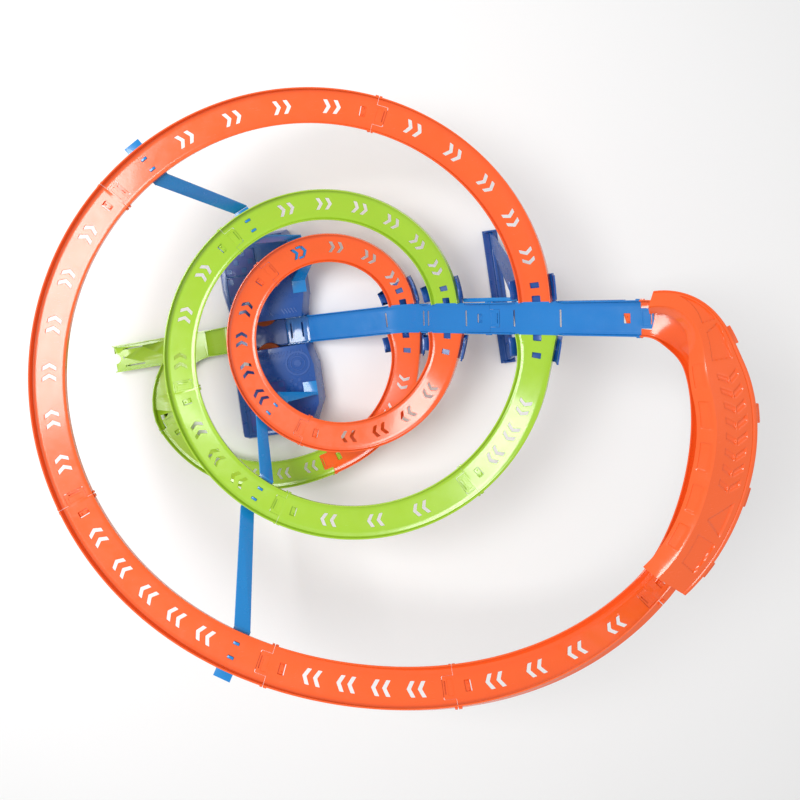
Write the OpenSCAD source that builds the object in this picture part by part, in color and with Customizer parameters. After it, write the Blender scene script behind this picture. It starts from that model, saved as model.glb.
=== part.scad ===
// Motorised spiral crash track for 1:64 cars.
// +X is the way the cars leave the booster, +Z is up.
// The origin is on the floor, under the middle of the booster.

/* [Track] */
// Clear width between the two side walls
track_width = 42; // [38:0.5:48]
// Thickness of a track floor
floor_t = 1.8; // [1.4:0.1:2.6]
// Thickness of a side wall
wall_t = 1.6; // [1.2:0.1:2.4]
// Height of a side wall above the floor
wall_h = 8.5; // [6:0.5:12]
// How much wider each side of a catching end is
flare = 7; // [3:0.5:10]
// Length over which a catching end narrows to the normal width
flare_length = 60; // [40:5:90]
// Height of the running surface in the booster and on the low straight
low_floor_z = 12; // [10.5:0.5:14]
// Spacing of the sections that make up a curved piece
section_step = 21; // [12:1:40]

/* [Ramp] */
// Slope of the ramp where it leaves the booster, degrees
ramp_slope_low = 22; // [16:0.5:26]
// Slope of the ramp above the first crossing, degrees
ramp_slope_high = 40; // [30:0.5:44]
// Where along X the low slope begins
ramp_foot_x = 50; // [45:1:60]
// Where along X the slope steepens
ramp_knee_x = 228; // [200:1:240]
// Turn of the upper ramp to the right, degrees
ramp_turn = 6.9; // [3:0.1:10]
// Joint between the lower and the upper ramp
ramp_joint_x = 346; // [330:1:360]
// Top end of the ramp along X
ramp_top_x = 506; // [480:1:540]

/* [Crossings] */
// Distance of the low, middle and high crossing along X
crossing_x = [228, 289.5, 401]; // [150:0.5:450]
// Length of a crossing guard along its loop
guard_length = 116; // [90:1:130]
// Height of a guard wing above the track floor
wing_h = 24; // [14:1:34]
// Lean of a guard wing away from the track
wing_lean = 11; // [4:1:16]
// Thickness of guard, strut and tower walls
guard_t = 2.4; // [1.8:0.1:3.5]

/* [Loops] */
// Middle of the lowest half loop
last_centre = [27.6, -117]; // [-200:0.1:200]
// Middle of the small loop
inner_centre = [129.2, -30.5]; // [-200:0.1:200]
// Middle of the middle loop
middle_centre = [134.3, -52.9]; // [-200:0.1:200]
// Middle of the large loop
outer_centre = [148.2, -149.9]; // [-200:0.1:200]
// Start of the large loop, where the banked curve lets the cars out
outer_start = [463, -378.2, 330]; // [-500:0.1:500]
// End of the lowest half loop, where it meets the merge
last_end = [-195, -131, 19]; // [-300:0.1:300]
// Bank of a loop far from its crossings, degrees
rest_bank = 5; // [0:1:12]
// Bank at the exit of the high curve, degrees
curve_bank = 80; // [60:1:84]

/* [High curve] */
// Reach of the curve past the top of the ramp
curve_reach = 118; // [90:1:150]
// Reach of the curve before its exit
curve_run = 118; // [90:1:150]
// Depth of the canopy from the outer rim to its inner edge
canopy_depth = 67; // [50:1:75]
// Thickness of the canopy
canopy_t = 2.2; // [1.6:0.1:3]

/* [Booster] */
// Length of the booster housing across the track
booster_length = 356; // [330:1:380]
// Width of the booster housing along the track
booster_width = 152; // [144:1:165]
// Height of the booster housing
booster_h = 54; // [50:1:62]
// Wall of the booster housing
housing_t = 2.2; // [1.8:0.1:3]
// Height of the lower tray
tray_h = 15; // [13:0.5:18]
// Middle of the booster wheels along X
wheel_x = -8; // [-16:1:0]
// Radius of a foam booster wheel
wheel_r = 22; // [20:0.5:23.5]
// How far each wheel reaches into the channel
wheel_bite = 6; // [4:0.5:7]
// Height of a foam booster wheel
wheel_w = 20; // [14:1:22]
// Diameter of a wheel axle
axle_d = 5; // [4:0.5:6]
// Gear module
gear_module = 1.25; // [1.1:0.05:1.3]
// Thickness of a gear
gear_w = 4.6; // [3:0.2:5]
// Diameter of a battery
battery_d = 33; // [32:0.5:34]
// Length of a battery
battery_l = 60; // [58:0.5:62]

/* [Fits] */
// Gap between pieces that snap together
snap_gap = 0.3; // [0.2:0.05:0.5]
// Radial gap round a turning axle
running_gap = 0.06; // [0.03:0.01:0.1]
// Travel of the power switch
switch_travel = 6; // [4:0.5:8]

/* [Hidden] */
$fn = 48;
half_w = track_width / 2;
outer_w = half_w + wall_t;
orange = [0.95, 0.33, 0.12];
green = [0.67, 0.82, 0.22];
navy = [0.06, 0.26, 0.62];
blue = [0.05, 0.5, 0.8];
steel = [0.75, 0.76, 0.78];
grey = [0.35, 0.36, 0.4];

// Names of the paths that a track piece can follow
LAST = 0;
INNER = 1;
MIDDLE = 2;
OUTER = 3;
CURVE = 4;
RAMP = 5;
ENTRY = 6;
MERGE = 7;
CANOPY = 8;

// Ramp line
ramp_foot_blend = 25;
ramp_knee_blend = 20;
lead_turn = 1.2;
channel_end = ramp_foot_x - ramp_foot_blend;
function eased(u, w) = u < -w ? 0 : u > w ? u : (u + w) * (u + w) / (4 * w);
function ramp_y(x) =
    -tan(lead_turn) * eased(x - ramp_foot_x, ramp_foot_blend)
    - (tan(ramp_turn) - tan(lead_turn)) * eased(x - ramp_knee_x, ramp_knee_blend);
function ramp_z(x) =
    low_floor_z + tan(ramp_slope_low) * eased(x - ramp_foot_x, ramp_foot_blend)
    + (tan(ramp_slope_high) - tan(ramp_slope_low)) * eased(x - ramp_knee_x, ramp_knee_blend);
function ramp_point(x) = [x, ramp_y(x), ramp_z(x)];
function ramp_slope_at(x) = let (d = ramp_point(x + 1) - ramp_point(x - 1)) atan2(d[2], norm([d[0], d[1]]));

// A loop's end at a crossing: side 1 is the end above the ramp in plan, -1 the catching end below it
function crossing_end(n, side) =
    let (x = crossing_x[n], d = ramp_point(x + 1) - ramp_point(x - 1), l = norm([d[0], d[1]]))
    ramp_point(x) + side * (outer_w + snap_gap) * [-d[1] / l, d[0] / l, 0];

// Each loop: middle, start, end, bulge, lean, fall, start bank, end bank
loop_centre = [last_centre, inner_centre, middle_centre, outer_centre];
loop_from = [crossing_end(0, -1), crossing_end(1, -1), crossing_end(2, -1), outer_start];
loop_to = [last_end, crossing_end(0, 1), crossing_end(1, 1), crossing_end(2, 1)];
loop_bulge = [-105, 30.5, 35.1, 65.3];
loop_lean = [0, -22.5, -34.3, -107.3];
loop_fall = [1, 1, 1, 1.5];
loop_bank_from = [ramp_slope_at(crossing_x[0]), ramp_slope_at(crossing_x[1]), ramp_slope_at(crossing_x[2]),
    curve_bank];
loop_bank_to = [0, ramp_slope_at(crossing_x[0]), ramp_slope_at(crossing_x[1]), ramp_slope_at(crossing_x[2])];
loop_bank_run = [0.4, 0.4, 0.42, 0.6];

function loop_point(k, t) =
    let (
        c = loop_centre[k],
        f = loop_from[k],
        e = loop_to[k],
        a0 = atan2(f[1] - c[1], f[0] - c[0]),
        a1 = atan2(e[1] - c[1], e[0] - c[0]),
        sweep = (a0 - a1 + 720) % 360,
        a = a0 - sweep * t,
        r0 = norm([f[0] - c[0], f[1] - c[1]]),
        r1 = norm([e[0] - c[0], e[1] - c[1]]),
        r = r0 + (r1 - r0) * t + loop_bulge[k] * sin(180 * t) + loop_lean[k] * sin(360 * t),
        s = t < 0 ? (loop_fall[k] > 1 ? 0 : t) : t > 1 ? 1 + loop_fall[k] * (t - 1) : pow(t, loop_fall[k])
    )
    [c[0] + r * cos(a), c[1] + r * sin(a), f[2] + (e[2] - f[2]) * s];

function square_of(v) = v * v;
function loop_bank(k, t) =
    let (g = loop_bank_run[k], from = loop_bank_from[k], to = loop_bank_to[k])
    rest_bank + (from - rest_bank) * square_of(max(0, 1 - max(0, t) / g))
    + (to - rest_bank) * square_of(max(0, 1 - (1 - min(1, t)) / (1 - g)));

// A cubic curve that runs straight on past its two ends
function bezier(p, t) =
    t < 0 ? p[0] + (p[1] - p[0]) * 3 * t
    : t > 1 ? p[3] + (p[3] - p[2]) * 3 * (t - 1)
    : p[0] * pow(1 - t, 3) + p[1] * 3 * t * square_of(1 - t) + p[2] * 3 * t * t * (1 - t) + p[3] * pow(t, 3);
function unit(v) = v / norm(v);
ramp_top = ramp_point(ramp_top_x);
ramp_top_way = unit(ramp_point(ramp_top_x) - ramp_point(ramp_top_x - 1));
outer_way = unit(loop_point(OUTER, 0.001) - loop_point(OUTER, 0));
curve_points = [ramp_top, ramp_top + ramp_top_way * curve_reach, outer_start - outer_way * curve_run,
    outer_start];
// The curve reaches its full bank at curve_lift
curve_lift = 0.31;
function curve_bank_at(t) =
    let (u = max(0, min(1, t / curve_lift))) curve_bank * u * u * (3 - 2 * u);

channel_start = -74;
entry_start = [-281, -5, low_floor_z];
entry_end = [channel_start, 0, low_floor_z];
last_way = unit(loop_point(LAST, 1) - loop_point(LAST, 0.999));
merge_end = [-118, -2, low_floor_z + 0.1];
merge_points = [last_end, last_end + last_way * 52, merge_end - [58, 0, 0], merge_end];

function path_point(k, t) =
    k <= OUTER ? loop_point(k, t)
    : k == CURVE || k == CANOPY ? bezier(curve_points, t)
    : k == RAMP ? ramp_point(t)
    : k == ENTRY ? entry_start + (entry_end - entry_start) * t
    : bezier(merge_points, t);
function path_bank(k, t) =
    k <= OUTER ? loop_bank(k, t)
    : k == CURVE ? curve_bank_at(t)
    : k == MERGE ? loop_bank(LAST, 1) * square_of(max(0, 1 - max(0, t) / 0.4))
    : 0;
function path_nudge(k) = k == RAMP ? 0.5 : 0.001;
function path_speed(k, t) =
    let (h = path_nudge(k)) norm(path_point(k, t + h) - path_point(k, t - h)) / (2 * h);
// The place on a path that lies so many millimetres after t
function moved(k, t, mm) = t + mm / path_speed(k, t);
// Half the clear width: the catching ends of the three crossings are flared
function path_half(k, t) =
    k == CANOPY ? outer_w * cos(curve_bank_at(t))
    : k > MIDDLE ? half_w
    : half_w + flare * square_of(max(0, 1 - max(0, t) * path_speed(k, 0.02) / flare_length));
// Point, way, sideways and upwards directions of a path
function path_frame(k, t) =
    let (
        h = path_nudge(k),
        way = unit(path_point(k, t + h) - path_point(k, t - h)),
        side = unit([-way[1], way[0], 0]),
        up = cross(way, side),
        b = path_bank(k, t)
    )
    [path_point(k, t), way, side * cos(b) + up * sin(b), up * cos(b) - side * sin(b)];

// Evenly spaced places from t0 to t1, about section_step apart
function places(k, t0, t1, step = section_step) =
    let (n = max(1, ceil(norm(path_point(k, t1) - path_point(k, t0)) / step * 1.15)))
    [for (i = [0 : n]) t0 + (t1 - t0) * i / n];

// A solid that follows a path. Each profile point is [edge, sideways, up]: edge -1 or 1 adds the
// half width of the track at that place, 0 measures from its middle. A fourth entry moves the point
// inwards by the width that the canopy has there.
module follow(k, ts, profile, cap) {
    m = len(profile);
    n = len(ts);
    pts = [for (t = ts) let (f = path_frame(k, t), w = path_half(k, t), d = canopy_reach(t)) for (q = profile)
        f[0] + f[2] * (q[0] * w + q[1] - (len(q) > 3 ? d : 0)) + f[3] * q[2]];
    sides = [for (i = [0 : n - 2], j = [0 : m - 1]) let (
        a = i * m + j, b = i * m + (j + 1) % m, c = a + m, d = b + m)
        each [[a, c, b], [b, c, d]]];
    first = [for (q = cap) [q[0], q[1], q[2]]];
    last = [for (q = cap) [for (i = [2 : -1 : 0]) (n - 1) * m + q[i]]];
    polyhedron(points = pts, faces = concat(sides, first, last), convexity = 8);
}
four_cap = [[0, 1, 2], [0, 2, 3]];
// A bar of four corners along a path
module strip(k, t0, t1, a0, a1, b0, b1, edge0 = 0, edge1 = 0, step = section_step) {
    follow(k, places(k, t0, t1, step), [[edge0, a0, b0], [edge1, a1, b0], [edge1, a1, b1], [edge0, a0, b1]],
        four_cap);
}
lip = 0.8;
channel_profile = [
    [-1, -wall_t, -floor_t], [1, wall_t, -floor_t], [1, wall_t + lip, wall_h], [1, lip, wall_h],
    [1, 0, 0], [-1, 0, 0], [-1, -lip, wall_h], [-1, -wall_t - lip, wall_h]];
channel_cap = [[0, 1, 4], [0, 4, 5], [1, 2, 3], [1, 3, 4], [0, 5, 6], [0, 6, 7]];
module channel(k, t0, t1, step = section_step) {
    follow(k, places(k, t0, t1, step), channel_profile, channel_cap);
}

// Stands its children on the track floor: x along the way, y to the left, z up from the floor
module on_path(k, t) {
    f = path_frame(k, t);
    multmatrix([
        [f[1][0], f[2][0], f[3][0], f[0][0]],
        [f[1][1], f[2][1], f[3][1], f[0][1]],
        [f[1][2], f[2][2], f[3][2], f[0][2]],
        [0, 0, 0, 1]])
        children();
}

// Arrow openings in the floor
chevron_half = 9;
chevron_bar = 5.5;
chevron_gap = 14;
module chevron_cut(k, t) {
    for (i = [0, 1])
        on_path(k, moved(k, t, (i - 0.5) * chevron_gap))
            translate([0, 0, -3 * floor_t])
                linear_extrude(5 * floor_t)
                    polygon([[-6, -chevron_half], [-6 + chevron_bar, -chevron_half], [2 + chevron_bar / 2, 0],
                        [-6 + chevron_bar, chevron_half], [-6, chevron_half], [2 - chevron_bar / 2, 0]]);
}
module chevron_run(k, t0, t1, n) {
    for (i = [0 : n - 1])
        chevron_cut(k, n == 1 ? t0 : t0 + (t1 - t0) * i / (n - 1));
}
// Two narrow slots that a strut's clips come up through
clip_w = 3;
clip_l = 8;
clip_spacing = 17;
module clip_slots(k, t) {
    for (s = [-1, 1])
        on_path(k, t)
            translate([0, s * clip_spacing / 2, 0])
                cube([clip_l + 2 * snap_gap, clip_w + 2 * snap_gap, 6 * floor_t], center = true);
}
// Window that shows the catch of the next piece
window_l = 8;
window_w = 13;
window_back = 17;
module window_cut(k, t) {
    on_path(k, t)
        cube([window_l, window_w, 6 * floor_t], center = true);
}

// The snap joint between two pieces
tongue_w = 26;
tongue_l = 15;
arm_w = 20;
lug_out = 2.4;
module tongue(k, t) {
    difference() {
        strip(k, moved(k, t, -3), moved(k, t, tongue_l), -tongue_w / 2, tongue_w / 2, -floor_t + 0.2, -0.2);
        on_path(k, moved(k, t, tongue_l - 3))
            cube([1.6, 15, 6 * floor_t], center = true);
    }
}
// Extra room in a joint whose two pieces bend differently
joint_slack = 0.8;
module tongue_notch(k, t, slack = 0) {
    w = tongue_w / 2 + snap_gap + 1.8 * slack;
    strip(k, moved(k, t, -4), moved(k, t, tongue_l + snap_gap + 5.5 * slack), -w, w, -3 * floor_t, 3 * floor_t);
}
// Arm under the joint, fixed to the piece that follows, with two catches in the window
module catch_arm(k, t, slack = 0) {
    top = -floor_t - snap_gap - slack;
    strip(k, moved(k, t, -window_back - 3), moved(k, t, tongue_l + 11), -arm_w / 2, arm_w / 2, top - 1.6, top);
    strip(k, moved(k, t, tongue_l + 2 + 4 * slack), moved(k, t, tongue_l + 10), -arm_w / 2 + 1, arm_w / 2 - 1, top - 1,
        -floor_t * 0.4);
    for (s = [-1, 1])
        strip(k, moved(k, t, -window_back - 1.2), moved(k, t, -window_back + 1.2), s * 4 - 1.1, s * 4 + 1.1,
            top - 1, slack > 0 ? top + 0.1 : -0.5);
}
// Small ears outside the walls, from -3 to 0 before an end or 0 to 3 after it
module lugs(k, t, from, to) {
    in = wall_t * 0.4;
    out = wall_t + lug_out;
    for (s = [-1, 1])
        strip(k, moved(k, t, from), moved(k, t, to), s > 0 ? in : -out, s > 0 ? out : -in, 1, 5.5, s, s);
}
// Notch for a guard's tab in a loop's end at a crossing
tab_w = 12;
tab_l = 9;
module end_notch(k, t, way) {
    on_path(k, moved(k, t, way * tab_l / 2 - way * 5))
        cube([tab_l + 10 + 2 * snap_gap, tab_w + 2 * snap_gap, 6 * floor_t], center = true);
}

// Joint places along each loop, as shares of it
last_joints = [0, 0.46, 1];
inner_joints = [0, 0.37, 0.685, 1];
middle_joints = [0, 0.16, 0.37, 0.53, 0.69, 1];
outer_joints = [0, 0.15, 0.3, 0.48, 0.665, 0.825, 1];
// Where struts A and B hold each loop
strut_a_at = [0, 0.75, 0.715, 0.69];
strut_b_at = [0, 0.44, 0.4, 0.33];

// Chevron runs: piece, first, last, how many pairs
last_chevrons = [[0, 0.11, 0.19, 2], [1, 0.55, 0.88, 4]];
inner_chevrons = [[0, 0.11, 0.29, 4], [1, 0.47, 0.62, 4], [2, 0.75, 0.94, 4]];
middle_chevrons = [[0, 0.07, 0.125, 3], [1, 0.22, 0.32, 3], [2, 0.425, 0.49, 3], [3, 0.56, 0.65, 3],
    [4, 0.755, 0.95, 6]];
outer_chevrons = [[0, 0.03, 0.12, 4], [1, 0.18, 0.265, 4], [2, 0.355, 0.455, 5], [3, 0.505, 0.64, 6],
    [4, 0.715, 0.8, 4], [5, 0.85, 0.965, 5]];
function joints_of(k) = [last_joints, inner_joints, middle_joints, outer_joints][k];
function chevrons_of(k) = [last_chevrons, inner_chevrons, middle_chevrons, outer_chevrons][k];

// The ramp's own room at a crossing, which a loop's end is trimmed to. side is as for crossing_end.
module ramp_room(n, side) {
    on_path(RAMP, crossing_x[n])
        translate([-75, side > 0 ? -75 : -outer_w - trim_gap[n], -40])
            cube([150, 75 + outer_w + trim_gap[n], 90]);
}
trim_gap = [2.6, 0.9, 0.9];
trim_extra = 6;

// Piece i of loop k
module loop_piece(k, i) {
    j = joints_of(k);
    t0 = j[i];
    t1 = j[i + 1];
    starts_at_crossing = i == 0 && k != OUTER;
    ends_at_crossing = i == len(j) - 2 && k != LAST;
    joint_before = !starts_at_crossing;
    joint_after = !ends_at_crossing;
    slack = k == OUTER && i == 0 ? joint_slack : 0;
    difference() {
        channel(k, moved(k, t0, joint_before ? snap_gap / 2 : -trim_extra),
            moved(k, t1, joint_after ? -snap_gap / 2 : trim_extra));
        if (joint_before) tongue_notch(k, t0, slack);
        if (starts_at_crossing) {
            ramp_room(k, -1);
            end_notch(k, t0, 1);
            window_cut(k, moved(k, t0, 30));
        }
        if (joint_after)
            window_cut(k, moved(k, t1, -window_back));
        else {
            ramp_room(k - 1, 1);
            end_notch(k, t1, -1);
            window_cut(k, moved(k, t1, -24));
        }
        for (c = chevrons_of(k))
            if (c[0] == i) chevron_run(k, c[1], c[2], c[3]);
        for (c = [strut_a_at[k], strut_b_at[k]])
            if (c > t0 && c < t1) clip_slots(k, c);
    }
    if (joint_before) {
        catch_arm(k, t0, slack);
        lugs(k, t0, 0.5, 4);
    }
    if (joint_after) {
        tongue(k, t1);
        lugs(k, t1, -5, -0.5);
    }
}

module last_loop_orange() color(orange) loop_piece(LAST, 0);
module last_loop_green() color(green) loop_piece(LAST, 1);
module inner_loop_1() color(orange) loop_piece(INNER, 0);
module inner_loop_2() color(orange) loop_piece(INNER, 1);
module inner_loop_3() color(orange) loop_piece(INNER, 2);
module middle_loop_1() color(green) loop_piece(MIDDLE, 0);
module middle_loop_2() color(green) loop_piece(MIDDLE, 1);
module middle_loop_3() color(green) loop_piece(MIDDLE, 2);
module middle_loop_4() color(green) loop_piece(MIDDLE, 3);
module middle_loop_5() color(green) loop_piece(MIDDLE, 4);
module outer_loop_1() color(orange) loop_piece(OUTER, 0);
module outer_loop_2() color(orange) loop_piece(OUTER, 1);
module outer_loop_3() color(orange) loop_piece(OUTER, 2);
module outer_loop_4() color(orange) loop_piece(OUTER, 3);
module outer_loop_5() color(orange) loop_piece(OUTER, 4);
module outer_loop_6() color(orange) loop_piece(OUTER, 5);

// Ramp and banked curve
crossing_open = 25;
module crossing_clear(n) {
    on_path(RAMP, crossing_x[n])
        translate([-crossing_open, -outer_w - 2, 0.05])
            cube([2 * crossing_open, 2 * outer_w + 4, 2 * wall_h]);
}
insert_end = ramp_foot_x + 16;
module launch_insert() {
    color(blue, 0.8)
        difference() {
            channel(RAMP, channel_end + snap_gap, insert_end - snap_gap / 2, 6);
            for (x = [channel_end + 9, insert_end - 12])
                on_path(RAMP, x)
                    cube([3, 26, 6 * floor_t], center = true);
        }
}
module ramp_piece(x0, x1, crossings, joint_before) {
    difference() {
        channel(RAMP, x0 + snap_gap / 2, x1 - snap_gap / 2);
        if (joint_before) tongue_notch(RAMP, x0);
        window_cut(RAMP, moved(RAMP, x1, -window_back));
        for (n = crossings) crossing_clear(n);
        for (n = crossings, s = [-1, 1])
            on_path(RAMP, moved(RAMP, crossing_x[n], s * (crossing_open + 9)))
                cube([2.5, 24, 6 * floor_t], center = true);
    }
    if (joint_before) {
        catch_arm(RAMP, x0);
        lugs(RAMP, x0, 0.5, 4);
    }
    tongue(RAMP, x1);
    lugs(RAMP, x1, -5, -0.5);
}
module lower_ramp() color(blue) ramp_piece(insert_end, ramp_joint_x, [0, 1], false);
module upper_ramp() color(blue) ramp_piece(ramp_joint_x, ramp_top_x, [2], true);
module curve_track() {
    color(orange) {
        difference() {
            channel(CURVE, moved(CURVE, 0, snap_gap / 2), moved(CURVE, 1, -snap_gap / 2), 18);
            tongue_notch(CURVE, 0, joint_slack);
            window_cut(CURVE, moved(CURVE, 1, -window_back));
        }
        catch_arm(CURVE, 0, joint_slack);
        lugs(CURVE, 0, 0.5, 4);
        tongue(CURVE, 1);
        lugs(CURVE, 1, -5, -0.5);
    }
}
// Canopy over the banked curve, open towards the middle of the loop. It starts narrow, is widest
// over the curve and narrows a little towards its lower end.
canopy_from = 0.04;
canopy_to = 0.93;
canopy_rise = 30;
function canopy_reach(t) =
    let (u = max(0, min(1, (t - canopy_from) / 0.34)))
    canopy_depth * (0.4 + 0.6 * u * u * (3 - 2 * u) - 0.45 * max(0, t - 0.6));
rim_gap = 8;
module curve_cover() {
    o = rim_gap;
    c = canopy_t;
    h = canopy_rise;
    color(orange) {
        follow(CANOPY, places(CANOPY, canopy_from, canopy_to, 16),
            [[1, o, -26], [1, o + 2, h], [1, o + 2, h + 8, 1], [1, o - 2, h - 6, 1], [1, o, h - 6, 1],
                [1, o + 3.6, h + 8 - c, 1], [1, o + 2 - c, h - c], [1, o - c, -26]],
            [[0, 1, 7], [1, 6, 7], [1, 2, 6], [2, 5, 6], [2, 3, 5], [3, 4, 5]]);
        for (t = [0.24, 0.44, 0.64, 0.84])
            strip(CANOPY, moved(CANOPY, t, -8), moved(CANOPY, t, 8), o - 1, o + 10, h - 12, h - 8, 1, 1);
    }
}
// Clips that hang the canopy on the upper wall of the curve
module cover_clips() {
    color(orange)
        for (t = [0.34, 0.54, 0.74])
            strip(CANOPY, moved(CANOPY, t, -6), moved(CANOPY, t, 6), rim_gap - canopy_t - 3.2,
                rim_gap - canopy_t - 0.1, 5, 20, 1, 1);
}

// Low straight and merge
module entry_merge_track() {
    z = low_floor_z;
    color(green)
        difference() {
            union() {
                channel(ENTRY, 0, 1 - snap_gap / 200, 60);
                difference() {
                    channel(MERGE, moved(MERGE, 0, snap_gap / 2), 1, 16);
                    tongue_notch(MERGE, 0, joint_slack);
                }
                catch_arm(MERGE, 0, joint_slack);
                lugs(MERGE, 0, 0.5, 4);
                for (t = [0.08, 0.4, 0.9])
                    on_path(ENTRY, t)
                        translate([-1.5, -outer_w, -z])
                            cube([3, 2 * outer_w, z - floor_t / 2]);
                on_path(MERGE, 0.45)
                    translate([-1.5, -outer_w, -path_point(MERGE, 0.45)[2]])
                        cube([3, 2 * outer_w, path_point(MERGE, 0.45)[2] - floor_t / 2]);
            }
            strip(ENTRY, 0.4, 0.98, -half_w, half_w, 0.12, 2 * wall_h);
            strip(MERGE, 0.3, 0.98, -half_w + 0.05, half_w - 0.05, 0.05, 2 * wall_h, 0, 0, 14);
            on_path(ENTRY, 0)
                translate([0, 0, -3])
                    cylinder(r = 9, h = 6);
            on_path(ENTRY, 0.075)
                translate([0, 0, -3])
                    cylinder(r = 2, h = 6);
            for (s = [-1, 1])
                on_path(ENTRY, 0.16)
                    translate([0, s * 15, 0])
                        cube([34, 2.4, 6], center = true);
        }
}

// Guards at the crossings: a saddle under the ramp and both loop ends, with four wings and two tabs
saddle_drop = 1;
saddle_t = 3;
saddle_rim = 0.5;
saddle_gap = 1.2;
wing_gap = 1.4;
wing_start = 6;
function near_crossing(n, side) = side > 0 ? [n + 1, 1, -1] : [n, 0, 1];
module guard(n) {
    low = -floor_t - saddle_drop - saddle_t;
    half = guard_length / 2 - outer_w;
    w = outer_w + lip + 0.6;
    o = wall_t + lip + wing_gap;
    top = -floor_t - saddle_gap;
    color(navy)
        union() {
            on_path(RAMP, crossing_x[n])
                translate([-w - guard_t, -outer_w - 5, low])
                    cube([2 * (w + guard_t), 2 * outer_w + 10, saddle_t]);
            for (side = [-1, 1]) {
                g = near_crossing(n, side);
                k = g[0];
                t0 = g[1];
                t1 = moved(k, t0, g[2] * half);
                t2 = moved(k, t0, g[2] * 2);
                t3 = moved(k, t0, g[2] * wing_start);
                strip(k, min(t1, t2) - saddle_rim / path_speed(k, 0.5), max(t1, t2), -o - guard_t - saddle_rim,
                    o + guard_t + saddle_rim, top - saddle_t, top, -1, 1, 7);
                for (s = [-1, 1]) {
                    tall = s > 0 && n > 0 ? 1 : 0.5;
                    lean = wing_lean * tall;
                    h = wing_h * tall;
                    ts = places(k, min(t1, t3), max(t1, t3), 9);
                    q = s > 0
                        ? [[1, o, top - 1], [1, o + guard_t, top - 1], [1, o + guard_t + lean, h], [1, o + lean, h]]
                        : [[-1, -o - guard_t, top - 1], [-1, -o, top - 1], [-1, -o - lean, h],
                            [-1, -o - guard_t - lean, h]];
                    follow(k, ts, q, four_cap);
                }
                on_path(k, moved(k, t0, g[2] * tab_l / 2))
                    translate([-tab_l / 2 + 1, -tab_w / 2, top - 1])
                        cube([tab_l - 1 - snap_gap, tab_w, floor_t + saddle_gap]);
            }
        }
}
module crossing_guard_low() guard(0);
module crossing_guard_middle() guard(1);
module crossing_guard_high() guard(2);

// Tower under the high crossing
tower_front = 126;
tower_back = 112;
tower_foot = 26;
tower_top_w = 52;
tower_t = 5;
module tower() {
    x = crossing_x[2] + 7;
    y = ramp_y(x);
    h = ramp_z(x) + 40;
    low = -floor_t - saddle_drop - saddle_t - 2.6;
    color(navy)
        difference() {
            union() {
                translate([x - tower_t / 2, 0, 0])
                    rotate([90, 0, 90])
                        linear_extrude(tower_t)
                            difference() {
                                polygon([[-tower_back, 0], [tower_front, 0], [tower_front - 6, 14],
                                    [y + tower_top_w / 2 + 5, h - 70], [y + tower_top_w / 2, h],
                                    [y - tower_top_w / 2, h], [y - tower_top_w / 2 - 5, h - 70],
                                    [-tower_back + 6, 14]]);
                                polygon([[-tower_back + 32, 12], [tower_front - 34, 12], [y + 36, 92], [y - 36, 92]]);
                                polygon([[y - 32, 104], [y + 32, 104], [y + 16, h - 92], [y - 16, h - 92]]);
                            }
                translate([x - tower_foot / 2, -tower_back, 0])
                    cube([tower_foot, tower_back + tower_front, 3]);
                for (f = [-tower_back + 1, y - 1.5, tower_front - 4])
                    translate([x - tower_foot / 2 + 3, f, 0])
                        cube([tower_foot - 6, 3, 14]);
                translate([x - 11, y - tower_top_w / 2, h - 96])
                    cube([22, tower_top_w, 60]);
            }
            translate([x - 11 + guard_t, y - tower_top_w / 2 + guard_t, h - 120])
                cube([22 - 2 * guard_t, tower_top_w - 2 * guard_t, 60]);
            on_path(RAMP, crossing_x[2])
                translate([-80, -80, low])
                    cube([160, 160, 120]);
        }
}
module ramp_brace() {
    w = outer_w + lip + 0.6 + guard_t;
    color(blue)
        strip(RAMP, moved(RAMP, crossing_x[1], w + 3), moved(RAMP, crossing_x[2], -w - 3), wall_t + lip + 1.2,
            wall_t + lip + 7.2, -5.5, -1.5, 1, 1);
}

// Struts from the booster to the loops: a landing under each loop and a riser between two landings
strut_w = 23;
strut_t = 3;
landing_in = outer_w + 4;
landing_out = outer_w + 12;
base_a = [62, 76];
base_b = [56, -100];
module landing(k, t, out) {
    on_path(k, t)
        translate([-strut_w / 2, -landing_in, -floor_t - snap_gap - strut_t])
            cube([strut_w, landing_in + out, strut_t]);
    for (s = [-1, 1])
        on_path(k, t)
            translate([-clip_l / 2, s * clip_spacing / 2 - clip_w / 2, -floor_t - 1])
                cube([clip_l, clip_w, floor_t + 2.2]);
}
riser_inset = 0.4;
riser_w = strut_w - 2 * riser_inset;
module landing_edge(k, t, y) {
    on_path(k, t)
        translate([-riser_w / 2, y - strut_t / 2 + riser_inset, -floor_t - snap_gap - strut_t + riser_inset])
            cube([riser_w, strut_t - 2 * riser_inset, strut_t - 2 * riser_inset]);
}
module strut_foot(base) {
    translate([base[0] - strut_w / 2, base[1] - 12, booster_h])
        cube([strut_w, 24, strut_t]);
}
module lower_strut(base, at, side) {
    color(blue)
        union() {
            strut_foot(base);
            hull() {
                translate([base[0] - riser_w / 2, base[1] + side * 9 - strut_t / 2, booster_h + riser_inset])
                    cube([riser_w, strut_t, strut_t - 2 * riser_inset]);
                landing_edge(INNER, at[INNER], -landing_in + strut_t / 2);
            }
            landing(INNER, at[INNER], landing_in);
            hull() {
                landing_edge(INNER, at[INNER], landing_in - strut_t / 2);
                landing_edge(MIDDLE, at[MIDDLE], -landing_in + strut_t / 2);
            }
            landing(MIDDLE, at[MIDDLE], landing_in);
        }
}
module upper_strut(at) {
    color(blue)
        union() {
            hull() {
                landing_edge(MIDDLE, at[MIDDLE], landing_in + strut_t / 2 + 0.1);
                landing_edge(OUTER, at[OUTER], -landing_in + strut_t / 2);
            }
            landing(OUTER, at[OUTER], landing_out);
        }
}
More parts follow.
